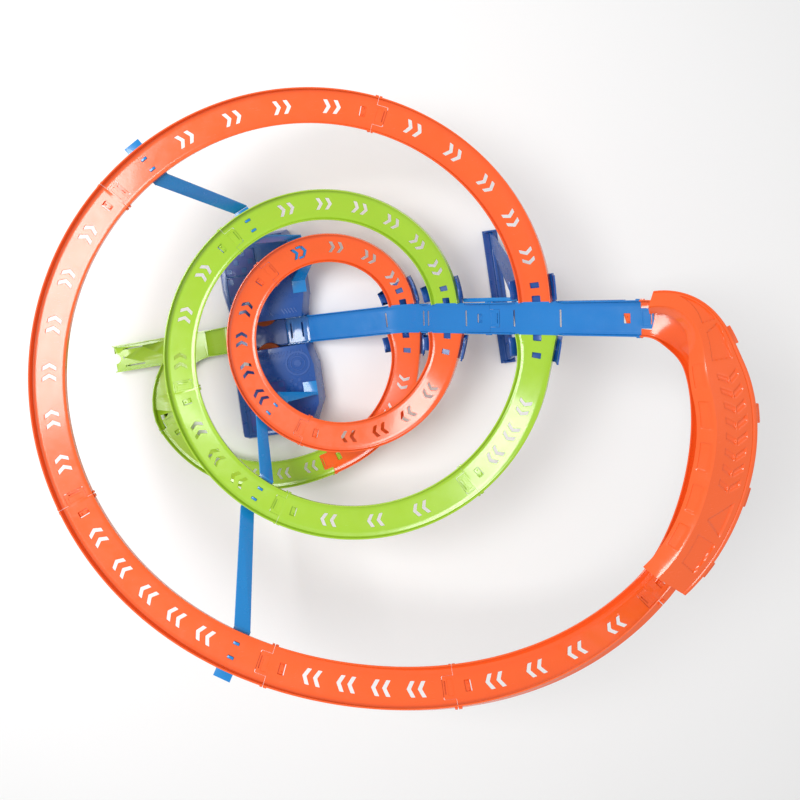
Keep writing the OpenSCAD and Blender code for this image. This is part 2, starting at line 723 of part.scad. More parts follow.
module strut_a_lower() lower_strut(base_a, strut_a_at, 1);
module strut_a_upper() upper_strut(strut_a_at);
module strut_b_lower() lower_strut(base_b, strut_b_at, -1);
module strut_b_upper() upper_strut(strut_b_at);

// Booster housing: a tray with two bevelled covers, one each side of the channel
neck_w = 67;
bevel = 9;
cover_in = outer_w + lip + 0.6;
function lobe(i, y0) =
    let (l = booster_length / 2, w = booster_width / 2)
    [[-neck_w + i, y0], [neck_w - i, y0], [neck_w + 3 - i, 52], [w - i, 60], [w - i, l - 52],
        [w - 24 - i, l - i], [-w + 10 + i, l - i], [-w + i, l - 12], [-w + i, 84], [-neck_w + i, 58]];
function tray_outline(i) =
    let (r = lobe(i, 0), n = len(r))
    concat([for (j = [1 : n - 1]) r[j]], [for (j = [n - 1 : -1 : 1]) [r[j][0], -r[j][1]]]);
base_t = 2.4;

// Drive: motor, reduction gear, wheel gear, two idlers that reverse the other wheel
wheel_teeth = 24;
idler_teeth = 18;
reduction_teeth = 20;
pinion_teeth = 14;
wheel_y = half_w - wheel_bite + wheel_r;
function pitch_r(n) = gear_module * n / 2;
idler_y = pitch_r(idler_teeth);
idler_reach = pitch_r(wheel_teeth) + pitch_r(idler_teeth);
idler_x = wheel_x + sqrt(idler_reach * idler_reach - square_of(wheel_y - idler_y));
train_way = 60;
reduction_reach = pitch_r(wheel_teeth) + pitch_r(reduction_teeth);
reduction_at = [wheel_x + reduction_reach * cos(train_way), wheel_y + reduction_reach * sin(train_way)];
pinion_reach = pitch_r(reduction_teeth) + pitch_r(pinion_teeth);
motor_at = [reduction_at[0] + pinion_reach * cos(train_way), reduction_at[1] + pinion_reach * sin(train_way)];
boss_h = 0.8;
gear_z = base_t + boss_h + 0.3;
plate_z = gear_z + gear_w + 0.3;
plate_t = low_floor_z - floor_t - 0.3 - plate_z;
wheel_z = low_floor_z + 2;
axle_r = axle_d / 2;
axle_bottom = 1;
axle_top = booster_h - 5;
pin_r = 2;
shaft_r = 1.2;
motor_r = 13.5;
motor_h = 30;
motor_z = plate_z + plate_t;

// An involute spur gear. turn is the angle of one tooth's middle.
pressure = 25;
tooth_thin = 0.09;
function inv(a) = tan(a) * 180 / PI - a;
function tooth_half(n, r) =
    let (rp = pitch_r(n), rb = rp * cos(pressure))
    90 / n - tooth_thin / rp * 180 / PI + inv(pressure) - (r > rb ? inv(acos(rb / r)) : 0);
module gear_outline(n, turn) {
    rp = pitch_r(n);
    root = rp - 1.1 * gear_module;
    tip = rp + 0.8 * gear_module;
    first = max(root + 0.05, rp * cos(pressure) + 0.01);
    rs = [for (i = [0 : 3]) first + (tip - first) * i / 3];
    polygon([for (i = [0 : n - 1]) let (a = turn + i * 360 / n) each concat(
        [let (b = a - tooth_half(n, first)) root * [cos(b), sin(b)]],
        [for (r = rs) let (b = a - tooth_half(n, r)) r * [cos(b), sin(b)]],
        [for (j = [3 : -1 : 0]) let (r = rs[j], b = a + tooth_half(n, r)) r * [cos(b), sin(b)]],
        [let (b = a + tooth_half(n, first)) root * [cos(b), sin(b)]])]);
}
// Angle of a tooth on a gear of n teeth that meshes with one of m teeth, tooth at a, seen along way
function meshed(way, a, m, n) = way + 180 + ((way - a) * m - 180) / n;
function way_to(a, b) = atan2(b[1] - a[1], b[0] - a[0]);
rear_axis = [wheel_x, wheel_y];
front_axis = [wheel_x, -wheel_y];
idler_rear = [idler_x, idler_y];
idler_front = [idler_x, -idler_y];
turn_rear = 0;
turn_idler_rear = meshed(way_to(rear_axis, idler_rear), turn_rear, wheel_teeth, idler_teeth);
turn_idler_front = meshed(way_to(idler_rear, idler_front), turn_idler_rear, idler_teeth, idler_teeth);
turn_front = meshed(way_to(idler_front, front_axis), turn_idler_front, idler_teeth, wheel_teeth);
turn_reduction = meshed(train_way, turn_rear, wheel_teeth, reduction_teeth);
turn_pinion = meshed(train_way, turn_reduction, reduction_teeth, pinion_teeth);
module gear(at, n, turn, bore) {
    translate([at[0], at[1], gear_z])
        difference() {
            linear_extrude(gear_w)
                gear_outline(n, turn);
            translate([0, 0, -1])
                cylinder(r = bore, h = gear_w + 2);
            translate([0, 0, gear_w - 0.8])
                difference() {
                    cylinder(r = pitch_r(n) - 2.4, h = 1);
                    translate([0, 0, -1])
                        cylinder(r = bore + 2, h = 3);
                }
        }
}
press_gap = 0.02;
module drive_gear_rear() color(grey) gear(rear_axis, wheel_teeth, turn_rear, axle_r + press_gap);
module drive_gear_front() color(grey) gear(front_axis, wheel_teeth, turn_front, axle_r + press_gap);
module idler_gear_rear() color(grey) gear(idler_rear, idler_teeth, turn_idler_rear, pin_r + running_gap);
module idler_gear_front() color(grey) gear(idler_front, idler_teeth, turn_idler_front, pin_r + running_gap);
module reduction_gear() color(grey) gear(reduction_at, reduction_teeth, turn_reduction, pin_r + running_gap);
module gear_pins() {
    color(steel)
        for (p = [idler_rear, idler_front, reduction_at])
            translate([p[0], p[1], axle_bottom])
                cylinder(r = pin_r, h = plate_z + plate_t - axle_bottom);
}
module axle(at) {
    color(steel)
        translate([at[0], at[1], axle_bottom])
            cylinder(r = axle_r, h = axle_top - axle_bottom);
}
module axle_rear() axle(rear_axis);
module axle_front() axle(front_axis);
hub_r = 11;
module wheel_hub(at) {
    color(orange)
        translate([at[0], at[1], wheel_z])
            difference() {
                union() {
                    cylinder(r = hub_r, h = wheel_w);
                    translate([0, 0, wheel_w])
                        cylinder(r = 6, h = 2);
                }
                translate([0, 0, -1])
                    cylinder(r = axle_r + press_gap, h = wheel_w + 4);
                for (a = [0 : 60 : 300])
                    rotate(a)
                        translate([7.3, 0, wheel_w - 3])
                            cylinder(r = 1.8, h = 4);
            }
}
module wheel_foam(at) {
    color([0.72, 0.3, 0.12])
        translate([at[0], at[1], wheel_z])
            rotate_extrude()
                polygon([[hub_r + press_gap, 0], [wheel_r - 1, 0], [wheel_r, 1.2], [wheel_r, wheel_w - 1.2],
                    [wheel_r - 1, wheel_w], [hub_r + press_gap, wheel_w]]);
}
module wheel_hub_rear() wheel_hub(rear_axis);
module wheel_hub_front() wheel_hub(front_axis);
module wheel_foam_rear() wheel_foam(rear_axis);
module wheel_foam_front() wheel_foam(front_axis);
module motor() {
    color(steel)
        translate([motor_at[0], motor_at[1], motor_z])
            difference() {
                union() {
                    cylinder(r = motor_r, h = motor_h);
                    translate([0, 0, motor_h])
                        cylinder(r = 5, h = 2);
                }
                translate([0, 0, -1])
                    cylinder(r = shaft_r + running_gap, h = 18);
            }
}
module motor_pinion() {
    color(grey)
        gear(motor_at, pinion_teeth, turn_pinion, shaft_r + press_gap);
}
module motor_shaft() {
    color(steel)
        translate([motor_at[0], motor_at[1], gear_z])
            cylinder(r = shaft_r, h = motor_z + 15 - gear_z);
}
// Plate that closes the gear train and carries the motor
plate_edge = 14;
module gearbox_plate() {
    color(grey)
        difference() {
            union() {
                translate([wheel_x - 17, -wheel_y - plate_edge, plate_z])
                    cube([50, 2 * (wheel_y + plate_edge), plate_t]);
                translate([reduction_at[0] - 26, wheel_y, plate_z])
                    cube([46, motor_at[1] - wheel_y + 16, plate_t]);
            }
            for (p = [rear_axis, front_axis])
                translate([p[0], p[1], plate_z - 1])
                    cylinder(r = axle_r + running_gap, h = plate_t + 2);
            for (p = [idler_rear, idler_front, reduction_at])
                translate([p[0], p[1], plate_z - 1])
                    cylinder(r = pin_r + press_gap, h = plate_t + 2);
            translate([motor_at[0], motor_at[1], plate_z - 1])
                cylinder(r = shaft_r + 0.4, h = plate_t + 2);
            for (p = plate_posts)
                translate([p[0], p[1], plate_z - 1])
                    cylinder(r = 1.5, h = plate_t + 2);
        }
}
plate_posts = [[wheel_x - 13, 10], [wheel_x - 13, -10], [wheel_x + 29, wheel_y + 10], [wheel_x + 29, -wheel_y - 10]];

// Batteries, two in each lobe, over a door in the tray
cell_y = 106;
cell_x = [-31, 5];
cell_z = base_t + 1 + battery_d / 2;
door_w = 82;
door_l = battery_l + 4;
door_y = cell_y - 3;
door_t = 1.8;
door_clear = 0.4;
door_x = (cell_x[0] + cell_x[1]) / 2;
module both_lobes() {
    children();
    mirror([0, 1, 0]) children();
}
module batteries() {
    color([0.2, 0.2, 0.22])
        both_lobes()
            for (x = cell_x)
                translate([x, cell_y, cell_z])
                    rotate([-90, 0, 0]) {
                        cylinder(r = battery_d / 2, h = battery_l - 1.5);
                        translate([0, 0, battery_l - 1.5])
                            cylinder(r = 5, h = 1.5);
                    }
}
module battery_contacts() {
    color(steel)
        both_lobes() {
            for (x = cell_x)
                translate([x - 7, cell_y + battery_l + 0.1, cell_z - 7])
                    cube([14, 0.5, 18]);
            translate([cell_x[0] - 7, cell_y - 0.7, cell_z - 7])
                cube([cell_x[1] - cell_x[0] + 14, 0.5, 14]);
        }
}
module door() {
    difference() {
        union() {
            translate([door_x - door_w / 2 + door_clear, door_y, 0.4])
                cube([door_w - 2 * door_clear, door_l - door_clear, door_t]);
            for (s = [-1, 1])
                translate([door_x + s * 24 - 5, door_y - 4, base_t + 0.3])
                    cube([10, 6, 1.1]);
            for (s = [-1, 1])
                translate([door_x + s * 24 - 5, door_y + 1, 1])
                    cube([10, 1, base_t + 0.4]);
        }
        for (i = [0 : 5])
            translate([door_x - 15, door_y + door_l - 8 - 4 * i, 0])
                cube([30, 1.6, 1]);
    }
}
module battery_door_rear() color(navy) door();
module battery_door_front() color(navy) mirror([0, 1, 0]) door();

screw_spots = [[59, 36], [-59, 36], [60, 140], [-66, 156]];
screw_r = 1.4;
screw_head_r = 3;
module housing_screws() {
    color(steel)
        both_lobes()
            for (p = screw_spots)
                translate([p[0], p[1], 0.8])
                    difference() {
                        union() {
                            cylinder(r = screw_head_r, h = 1.6);
                            cylinder(r = screw_r, h = 24);
                        }
                        translate([0, 0, -0.1]) {
                            translate([-2, -0.4, 0]) cube([4, 0.8, 0.9]);
                            translate([-0.4, -2, 0]) cube([0.8, 4, 0.9]);
                        }
                    }
}

module booster_base() {
    inner_boss = 4.4;
    color(navy)
        difference() {
            union() {
                difference() {
                    linear_extrude(tray_h)
                        polygon(tray_outline(0));
                    translate([0, 0, base_t])
                        linear_extrude(tray_h)
                            polygon(tray_outline(housing_t));
                }
                for (p = [rear_axis, front_axis, idler_rear, idler_front, reduction_at])
                    translate([p[0], p[1], base_t - 0.1])
                        cylinder(r = inner_boss, h = boss_h + 0.1);
                for (p = plate_posts)
                    translate([p[0], p[1], base_t - 0.1]) {
                        cylinder(r = 3, h = plate_z - base_t + 0.1);
                        cylinder(r = 1.45, h = plate_z - base_t + plate_t - 0.1);
                    }
                both_lobes()
                    for (p = screw_spots)
                        translate([p[0], p[1], base_t - 0.1])
                            cylinder(r = screw_head_r + 1.4, h = 3);
                both_lobes()
                    for (y = [door_y - 6, door_y + door_l + 1])
                        translate([door_x - door_w / 2, y, base_t - 0.1])
                            cube([door_w, 1.6, y < door_y ? 0.25 : 12]);
            }
            translate([-booster_width, -cover_in, low_floor_z - floor_t - 0.3])
                cube([2 * booster_width, 2 * cover_in, tray_h]);
            for (p = [rear_axis, front_axis])
                translate([p[0], p[1], axle_bottom])
                    cylinder(r = axle_r + running_gap, h = 10);
            for (p = [idler_rear, idler_front, reduction_at])
                translate([p[0], p[1], axle_bottom])
                    cylinder(r = pin_r + press_gap, h = 10);
            both_lobes() {
                translate([door_x - door_w / 2, door_y - door_clear, -1])
                    cube([door_w, door_l + door_clear, 20]);
                for (p = screw_spots)
                    translate([p[0], p[1], -1]) {
                        cylinder(r = screw_head_r + 0.3, h = 1 + 2.4);
                        cylinder(r = screw_r + 0.1, h = 8);
                    }
            }
        }
}
// A bevelled cover over one lobe
switch_at = [-46, -44];
switch_slot_w = 5;
stem_l = 5;
module cover_solid(i) {
    hull() {
        translate([0, 0, tray_h - (i > 0 ? 1 : 0)])
            linear_extrude(1)
                polygon(lobe(i, cover_in + i));
        translate([0, 0, booster_h - 1 - i])
            linear_extrude(1)
                polygon(lobe(bevel + i, cover_in + i));
    }
}
module lobe_cover() {
    difference() {
        union() {
            difference() {
                cover_solid(0);
                cover_solid(housing_t);
            }
            intersection() {
                cover_solid(0);
                for (p = screw_spots)
                    translate([p[0], p[1], tray_h - 9])
                        cylinder(r = 3.4, h = 36);
            }
            for (p = screw_spots)
                translate([p[0], p[1], tray_h - 9])
                    cylinder(r = 3.4, h = 10);
            translate([rear_axis[0], rear_axis[1], wheel_z + wheel_w + 4])
                cylinder(r = 6, h = booster_h - wheel_z - wheel_w - 5);
        }
        for (p = screw_spots)
            translate([p[0], p[1], 0])
                cylinder(r = screw_r + 0.01, h = 26);
        translate([rear_axis[0], rear_axis[1], 0])
            cylinder(r = axle_r + running_gap, h = axle_top + 0.5);
        translate([rear_axis[0], rear_axis[1], low_floor_z + 1])
            cylinder(r = wheel_r + 1, h = wheel_w + 2);
        translate([-58, 92, booster_h - 1.2])
            cube([64, 74, 4]);
        translate([-48, 52, booster_h - 0.8])
            cube([34, 30, 4]);
    }
}
module booster_cover_rear() color(navy) lobe_cover();
module booster_cover_front() {
    color(navy)
        difference() {
            mirror([0, 1, 0]) lobe_cover();
            translate([switch_at[0] - stem_l / 2 - snap_gap, switch_at[1] - switch_slot_w / 2, booster_h - 6])
                cube([stem_l + switch_travel + 2 * snap_gap, switch_slot_w, 8]);
        }
}
module booster_channel() {
    color(navy)
        difference() {
            translate([channel_start + snap_gap, 0, low_floor_z])
                rotate([90, 0, 90])
                    linear_extrude(channel_end - channel_start - 2 * snap_gap)
                        polygon([[-outer_w, -floor_t], [outer_w, -floor_t], [outer_w, wall_h], [half_w, wall_h],
                            [half_w, 0], [-half_w, 0], [-half_w, wall_h], [-outer_w, wall_h]]);
            for (p = [rear_axis, front_axis])
                translate([p[0], p[1], low_floor_z + 1])
                    cylinder(r = wheel_r + 1, h = wheel_w + 2);
        }
}
// Slide switch: the knob and stem travel along X in the front cover, over a fixed body
module switch_slider() {
    color([0.85, 0.85, 0.87]) {
        translate([switch_at[0] - stem_l / 2, switch_at[1] - 2, booster_h - 7])
            cube([stem_l, 4, 8]);
        translate([switch_at[0] - 4.5, switch_at[1] - 4.5, booster_h + 0.3])
            cube([9, 9, 3.2]);
    }
}
module switch_body() {
    l = stem_l + switch_travel + 2 * snap_gap;
    color(grey)
        translate([switch_at[0] - stem_l / 2 - snap_gap - 2, switch_at[1] - 5, booster_h - 12])
            difference() {
                cube([l + 4, 10, 12 - housing_t - 0.2]);
                translate([2, 2.7, 4.7])
                    cube([l, 4.6, 12]);
            }
}

entry_merge_track();
last_loop_green();
last_loop_orange();
inner_loop_1();
inner_loop_2();
inner_loop_3();
middle_loop_1();
middle_loop_2();
middle_loop_3();
middle_loop_4();
middle_loop_5();
outer_loop_1();
outer_loop_2();
outer_loop_3();
outer_loop_4();
outer_loop_5();
outer_loop_6();
curve_track();
curve_cover();
cover_clips();
launch_insert();
lower_ramp();
upper_ramp();
crossing_guard_low();
crossing_guard_middle();
crossing_guard_high();
tower();
ramp_brace();
strut_a_lower();
strut_a_upper();
strut_b_lower();
strut_b_upper();
booster_base();
booster_cover_rear();
booster_cover_front();
booster_channel();
gearbox_plate();
gear_pins();
axle_rear();
axle_front();
drive_gear_rear();
drive_gear_front();
idler_gear_rear();
idler_gear_front();
reduction_gear();
wheel_hub_rear();
wheel_hub_front();
wheel_foam_rear();
wheel_foam_front();
motor();
motor_shaft();
motor_pinion();
batteries();
battery_contacts();
battery_door_rear();
battery_door_front();
switch_slider();
switch_body();
housing_screws();
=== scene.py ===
import bmesh
import bpy
import numpy as np
from mathutils import Matrix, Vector
from mathutils.geometry import delaunay_2d_cdt


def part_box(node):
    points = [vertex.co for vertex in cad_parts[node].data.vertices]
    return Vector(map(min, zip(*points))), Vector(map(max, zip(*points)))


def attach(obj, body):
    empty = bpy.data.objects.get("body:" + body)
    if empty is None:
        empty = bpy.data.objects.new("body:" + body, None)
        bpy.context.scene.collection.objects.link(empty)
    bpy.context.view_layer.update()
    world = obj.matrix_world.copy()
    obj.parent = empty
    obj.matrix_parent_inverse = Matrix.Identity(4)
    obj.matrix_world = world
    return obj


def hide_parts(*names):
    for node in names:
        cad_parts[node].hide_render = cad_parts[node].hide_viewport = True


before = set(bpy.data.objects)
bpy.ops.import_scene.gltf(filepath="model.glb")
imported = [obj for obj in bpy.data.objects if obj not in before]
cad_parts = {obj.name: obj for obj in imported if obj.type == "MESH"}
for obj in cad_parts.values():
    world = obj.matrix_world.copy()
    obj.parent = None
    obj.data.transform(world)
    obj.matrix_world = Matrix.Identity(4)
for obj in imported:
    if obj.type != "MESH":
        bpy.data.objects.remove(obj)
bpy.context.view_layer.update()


# The camera looks straight down at the set from just over a metre up.
# It is turned a little, so that the low straight lies level across the picture.
camera_at = (0.1392, 0.0396, 1.1)
camera_turn = np.radians(-8.28)
camera = bpy.data.objects.new("camera", bpy.data.cameras.new("camera"))
camera.location = camera_at
camera.rotation_euler = (0, 0, camera_turn)
camera.data.sensor_width = 36
camera.data.lens = 27.68
camera.data.shift_x = 0.066
camera.data.shift_y = -0.125
camera.data.clip_end = 20
bpy.context.scene.collection.objects.link(camera)
bpy.context.scene.camera = camera


# Floor and studio light: a white sweep under two big soft boxes and a bright room.
# The key stands to the left of the set, so the loops' shadows fall inside them and to their right.
def linear(hex_colour):
    """Screen colour to linear light: the usual power law on each channel."""
    c = np.array([int(hex_colour[i:i + 2], 16) for i in (1, 3, 5)]) / 255
    return tuple(np.where(c <= 0.04045, c / 12.92, ((c + 0.055) / 1.055) ** 2.4)) + (1.0,)


def node(mat, kind, **values):
    made = mat.node_tree.nodes.new(kind)
    for key, value in values.items():
        if key in made.inputs:
            made.inputs[key].default_value = value
        else:
            setattr(made, key, value)
    return made


def floor_finish():
    """Matt paper sweep: near-white with very slow tone drift."""
    mat = bpy.data.materials.new("white_sweep")
    mat.use_nodes = True
    shader = mat.node_tree.nodes["Principled BSDF"]
    shader.inputs["Roughness"].default_value = 0.75
    where = node(mat, "ShaderNodeTexCoord")
    drift = node(mat, "ShaderNodeTexNoise", Scale=1.5, Detail=2.0)
    mix = node(mat, "ShaderNodeMix", data_type="RGBA")
    mix.inputs["A"].default_value = (0.93, 0.93, 0.93, 1)
    mix.inputs["B"].default_value = (0.96, 0.96, 0.96, 1)
    mat.node_tree.links.new(where.outputs["Object"], drift.inputs["Vector"])
    mat.node_tree.links.new(drift.outputs["Fac"], mix.inputs["Factor"])
    mat.node_tree.links.new(mix.outputs["Result"], shader.inputs["Base Color"])
    return mat


floor_mesh = bpy.data.meshes.new("studio_floor")
sweep, sweep_z = 6, -0.0004
floor_mesh.from_pydata(
    [(x * sweep, y * sweep, sweep_z) for x, y in ((-1, -1), (1, -1), (1, 1), (-1, 1))], [], [(0, 1, 2, 3)])
floor_mesh.materials.append(floor_finish())
studio_floor = bpy.data.objects.new("studio_floor", floor_mesh)
bpy.context.scene.collection.objects.link(studio_floor)


def soft_box(name, at, towards, size, power):
    """A rectangular light at a point, turned to face another point."""
    lamp = bpy.data.lights.new(name, "AREA")
    lamp.shape = "RECTANGLE"
    lamp.size, lamp.size_y = size
    lamp.energy = power
    obj = bpy.data.objects.new(name, lamp)
    away = np.array(at, float) - np.array(towards, float)
    z = away / np.linalg.norm(away)
    x = np.cross((0, 1, 0), z)
    x /= np.linalg.norm(x)
    y = np.cross(z, x)
    obj.matrix_world = Matrix([[x[i], y[i], z[i], at[i]] for i in range(3)] + [[0, 0, 0, 1]])
    bpy.context.scene.collection.objects.link(obj)
    return obj


soft_box("key_box", (-0.65, 0.35, 1.9), (0.05, 0.0, 0.1), (0.8, 0.9), 27)
soft_box("fill_box", (1.5, -0.4, 2.2), (0.2, -0.1, 0.1), (1.2, 1.2), 4)
world = bpy.data.worlds.new("bright_room")
world.use_nodes = True
world.node_tree.nodes["Background"].inputs["Color"].default_value = (1.0, 1.0, 1.0, 1)
world.node_tree.nodes["Background"].inputs["Strength"].default_value = 0.57
bpy.context.scene.world = world
bpy.context.scene.view_settings.view_transform = "Standard"


# The line that the cars run on. The ramp climbs away from the booster, each loop is a closing
# spiral round its own middle, and the high curve joins the ramp's top to the widest loop.
# All lengths along the track are in millimetres, and angles in degrees.
half_w = 21.0
wall_t = 1.6
floor_t = 1.8
snap_gap = 0.3
outer_w = half_w + wall_t
LAST, INNER, MIDDLE, OUTER, CURVE, RAMP, ENTRY, MERGE, CANOPY = range(9)
ramp_foot, ramp_knee, ramp_top_x = 50.0, 228.0, 506.0
crossing_x = (228.0, 289.5, 401.0)


def tan(a):
    return np.tan(np.radians(a))


def eased(u, w):
    """A corner rounded over plus and minus w: zero before, a parabola across, straight after."""
    return np.where(u < -w, 0, np.where(u > w, u, (u + w) ** 2 / (4 * w)))


def ramp_line(x):
    """The ramp: two straight slopes with rounded corners, turning a little to the right."""
    foot, knee = eased(x - ramp_foot, 25), eased(x - ramp_knee, 20)
    y = -tan(1.2) * foot - (tan(6.9) - tan(1.2)) * knee
    z = 12 + tan(22) * foot + (tan(40) - tan(22)) * knee
    return np.stack([x, y, z], -1)


def crossing_end(n, side):
    x = np.array(crossing_x[n])
    d = ramp_line(x + 1) - ramp_line(x - 1)
    return ramp_line(x) + side * (outer_w + snap_gap) * np.array([-d[1], d[0], 0]) / np.hypot(d[0], d[1])


def slope_at(n):
    x = np.array(crossing_x[n])
    d = ramp_line(x + 1) - ramp_line(x - 1)
    return np.degrees(np.arctan2(d[2], np.hypot(d[0], d[1])))


outer_start = np.array([463, -378.2, 330.0])
last_end = np.array([-195, -131, 19.0])
loops = [
    # middle, start, end, bulge, lean, fall, start bank, end bank, share banked from the start
    ((27.6, -117), crossing_end(0, -1), last_end, -105, 0, 1, slope_at(0), 0, 0.4),
    ((129.2, -30.5), crossing_end(1, -1), crossing_end(0, 1), 30.5, -22.5, 1, slope_at(1), slope_at(0), 0.4),
    ((134.3, -52.9), crossing_end(2, -1), crossing_end(1, 1), 35.1, -34.3, 1, slope_at(2), slope_at(1), 0.42),
    ((148.2, -149.9), outer_start, crossing_end(2, 1), 65.3, -107.3, 1.5, 80, slope_at(2), 0.6)]


def loop_line(k, t):
    """A clockwise spiral: the radius runs from its first to its last value, plus one half sine
    for the bulge and one whole sine for the lean, and the height falls with a power of t."""
    c, f, e, bulge, lean, fall = loops[k][:6]
    a0, a1 = (np.degrees(np.arctan2(p[1] - c[1], p[0] - c[0])) for p in (f, e))
    r0, r1 = (np.hypot(p[0] - c[0], p[1] - c[1]) for p in (f, e))
    a = np.radians(a0 - ((a0 - a1 + 720) % 360) * t)
    r = r0 + (r1 - r0) * t + bulge * np.sin(np.pi * t) + lean * np.sin(2 * np.pi * t)
    s = np.where(t < 0, t, np.where(t > 1, 1 + fall * (t - 1), np.clip(t, 0, 1) ** fall))
    return np.stack([c[0] + r * np.cos(a), c[1] + r * np.sin(a), f[2] + (e[2] - f[2]) * s], -1)


def bezier(p, t):
    t = np.asarray(t, float)[..., None]
    return p[0] * (1 - t) ** 3 + p[1] * 3 * t * (1 - t) ** 2 + p[2] * 3 * t * t * (1 - t) + p[3] * t ** 3


def unit(v):
    return v / np.linalg.norm(v, axis=-1, keepdims=True)


ramp_top = ramp_line(np.array(ramp_top_x))
ramp_way = unit(ramp_top - ramp_line(np.array(ramp_top_x - 1)))
outer_way = unit(loop_line(OUTER, np.array(0.001)) - loop_line(OUTER, np.array(0.0)))
curve_points = [ramp_top, ramp_top + ramp_way * 118, outer_start - outer_way * 118, outer_start]


def curve_bank(t):
    u = np.clip(t / 0.31, 0, 1)
    return 80 * u * u * (3 - 2 * u)


entry_start, entry_end = np.array([-281, -5, 12.0]), np.array([-74, 0, 12.0])
last_way = unit(loop_line(LAST, np.array(1.0)) - loop_line(LAST, np.array(0.999)))
merge_end = np.array([-118, -2, 12.1])
merge_points = [last_end, last_end + last_way * 52, merge_end - [58, 0, 0], merge_end]


def line(k, t):
    if k <= OUTER:
        return loop_line(k, t)
    if k in (CURVE, CANOPY):
        return bezier(curve_points, t)
    if k == RAMP:
        return ramp_line(t)
    if k == ENTRY:
        return entry_start + (entry_end - entry_start) * np.asarray(t, float)[..., None]
    return bezier(merge_points, t)


def bank(k, t):
    """Bank in degrees: full at a loop's two ends, dying away as a parabola towards its rest."""
    if k <= OUTER:
        start, end, run = loops[k][6:]
        return (5 + (start - 5) * np.maximum(0, 1 - np.maximum(0, t) / run) ** 2
                + (end - 5) * np.maximum(0, 1 - (1 - np.minimum(1, t)) / (1 - run)) ** 2)
    if k == MERGE:
        return loops[LAST][7] * np.clip(1 - np.maximum(0, t) / 0.4, 0, 1) ** 2
    return curve_bank(t) if k == CURVE else np.zeros_like(t)


def nudge(k):
    return 0.5 if k == RAMP else 0.001


def speed(k, t):
    h = nudge(k)
    t = np.asarray(t, float)
    return np.linalg.norm(line(k, t + h) - line(k, t - h), axis=-1) / (2 * h)


def moved(k, t, mm):
    return t + mm / float(speed(k, t))


def half_width(k, t):
    """Half the clear width: the catching ends at the crossings open out as a parabola."""
    if k == CANOPY:
        return outer_w * np.cos(np.radians(curve_bank(t)))
    if k > MIDDLE:
        return np.full_like(t, half_w)
    return half_w + 7 * np.maximum(0, 1 - np.maximum(0, t) * float(speed(k, 0.02)) / 60) ** 2


def frame_at(k, t):
    """Point, way, sideways and upwards at each t, with the bank turned in about the way."""
    h = nudge(k)
    way = unit(line(k, t + h) - line(k, t - h))
    side = unit(np.stack([-way[:, 1], way[:, 0], np.zeros(len(t))], -1))
    up = np.cross(way, side)
    b = np.radians(bank(k, t))[:, None]
    return line(k, t), side * np.cos(b) + up * np.sin(b), up * np.cos(b) - side * np.sin(b)


class Run:
    """A stretch of track from t0 to t1, measured in millimetres from t0 along its middle."""

    def __init__(self, k, t0, t1, slack=60):
        self.k = k
        reach = slack / float(speed(k, t0)), slack / float(speed(k, t1))
        self.t = np.linspace(t0 - reach[0], t1 + reach[1], 900)
        p = line(k, self.t)
        s = np.concatenate([[0], np.cumsum(np.linalg.norm(np.diff(p, axis=0), axis=1))])
        self.s = s - np.interp(t0, self.t, s)
        self.length = float(np.interp(t1, self.t, self.s))

    def at(self, s):
        return np.interp(s, self.s, self.t)

    def where(self, t):
        return float(np.interp(t, self.t, self.s))

    def width(self, s):
        return half_width(self.k, self.at(np.asarray(s, float)))

    def place(self, s, a, b):
        """Points at s along, a to the left of the middle and b above the running surface."""
        s, a, b = np.broadcast_arrays(*(np.asarray(v, float) for v in (s, a, b)))
        mid, side, up = frame_at(self.k, self.at(s.ravel()))
        return (mid + side * a.ravel()[:, None] + up * b.ravel()[:, None]).reshape(s.shape + (3,))


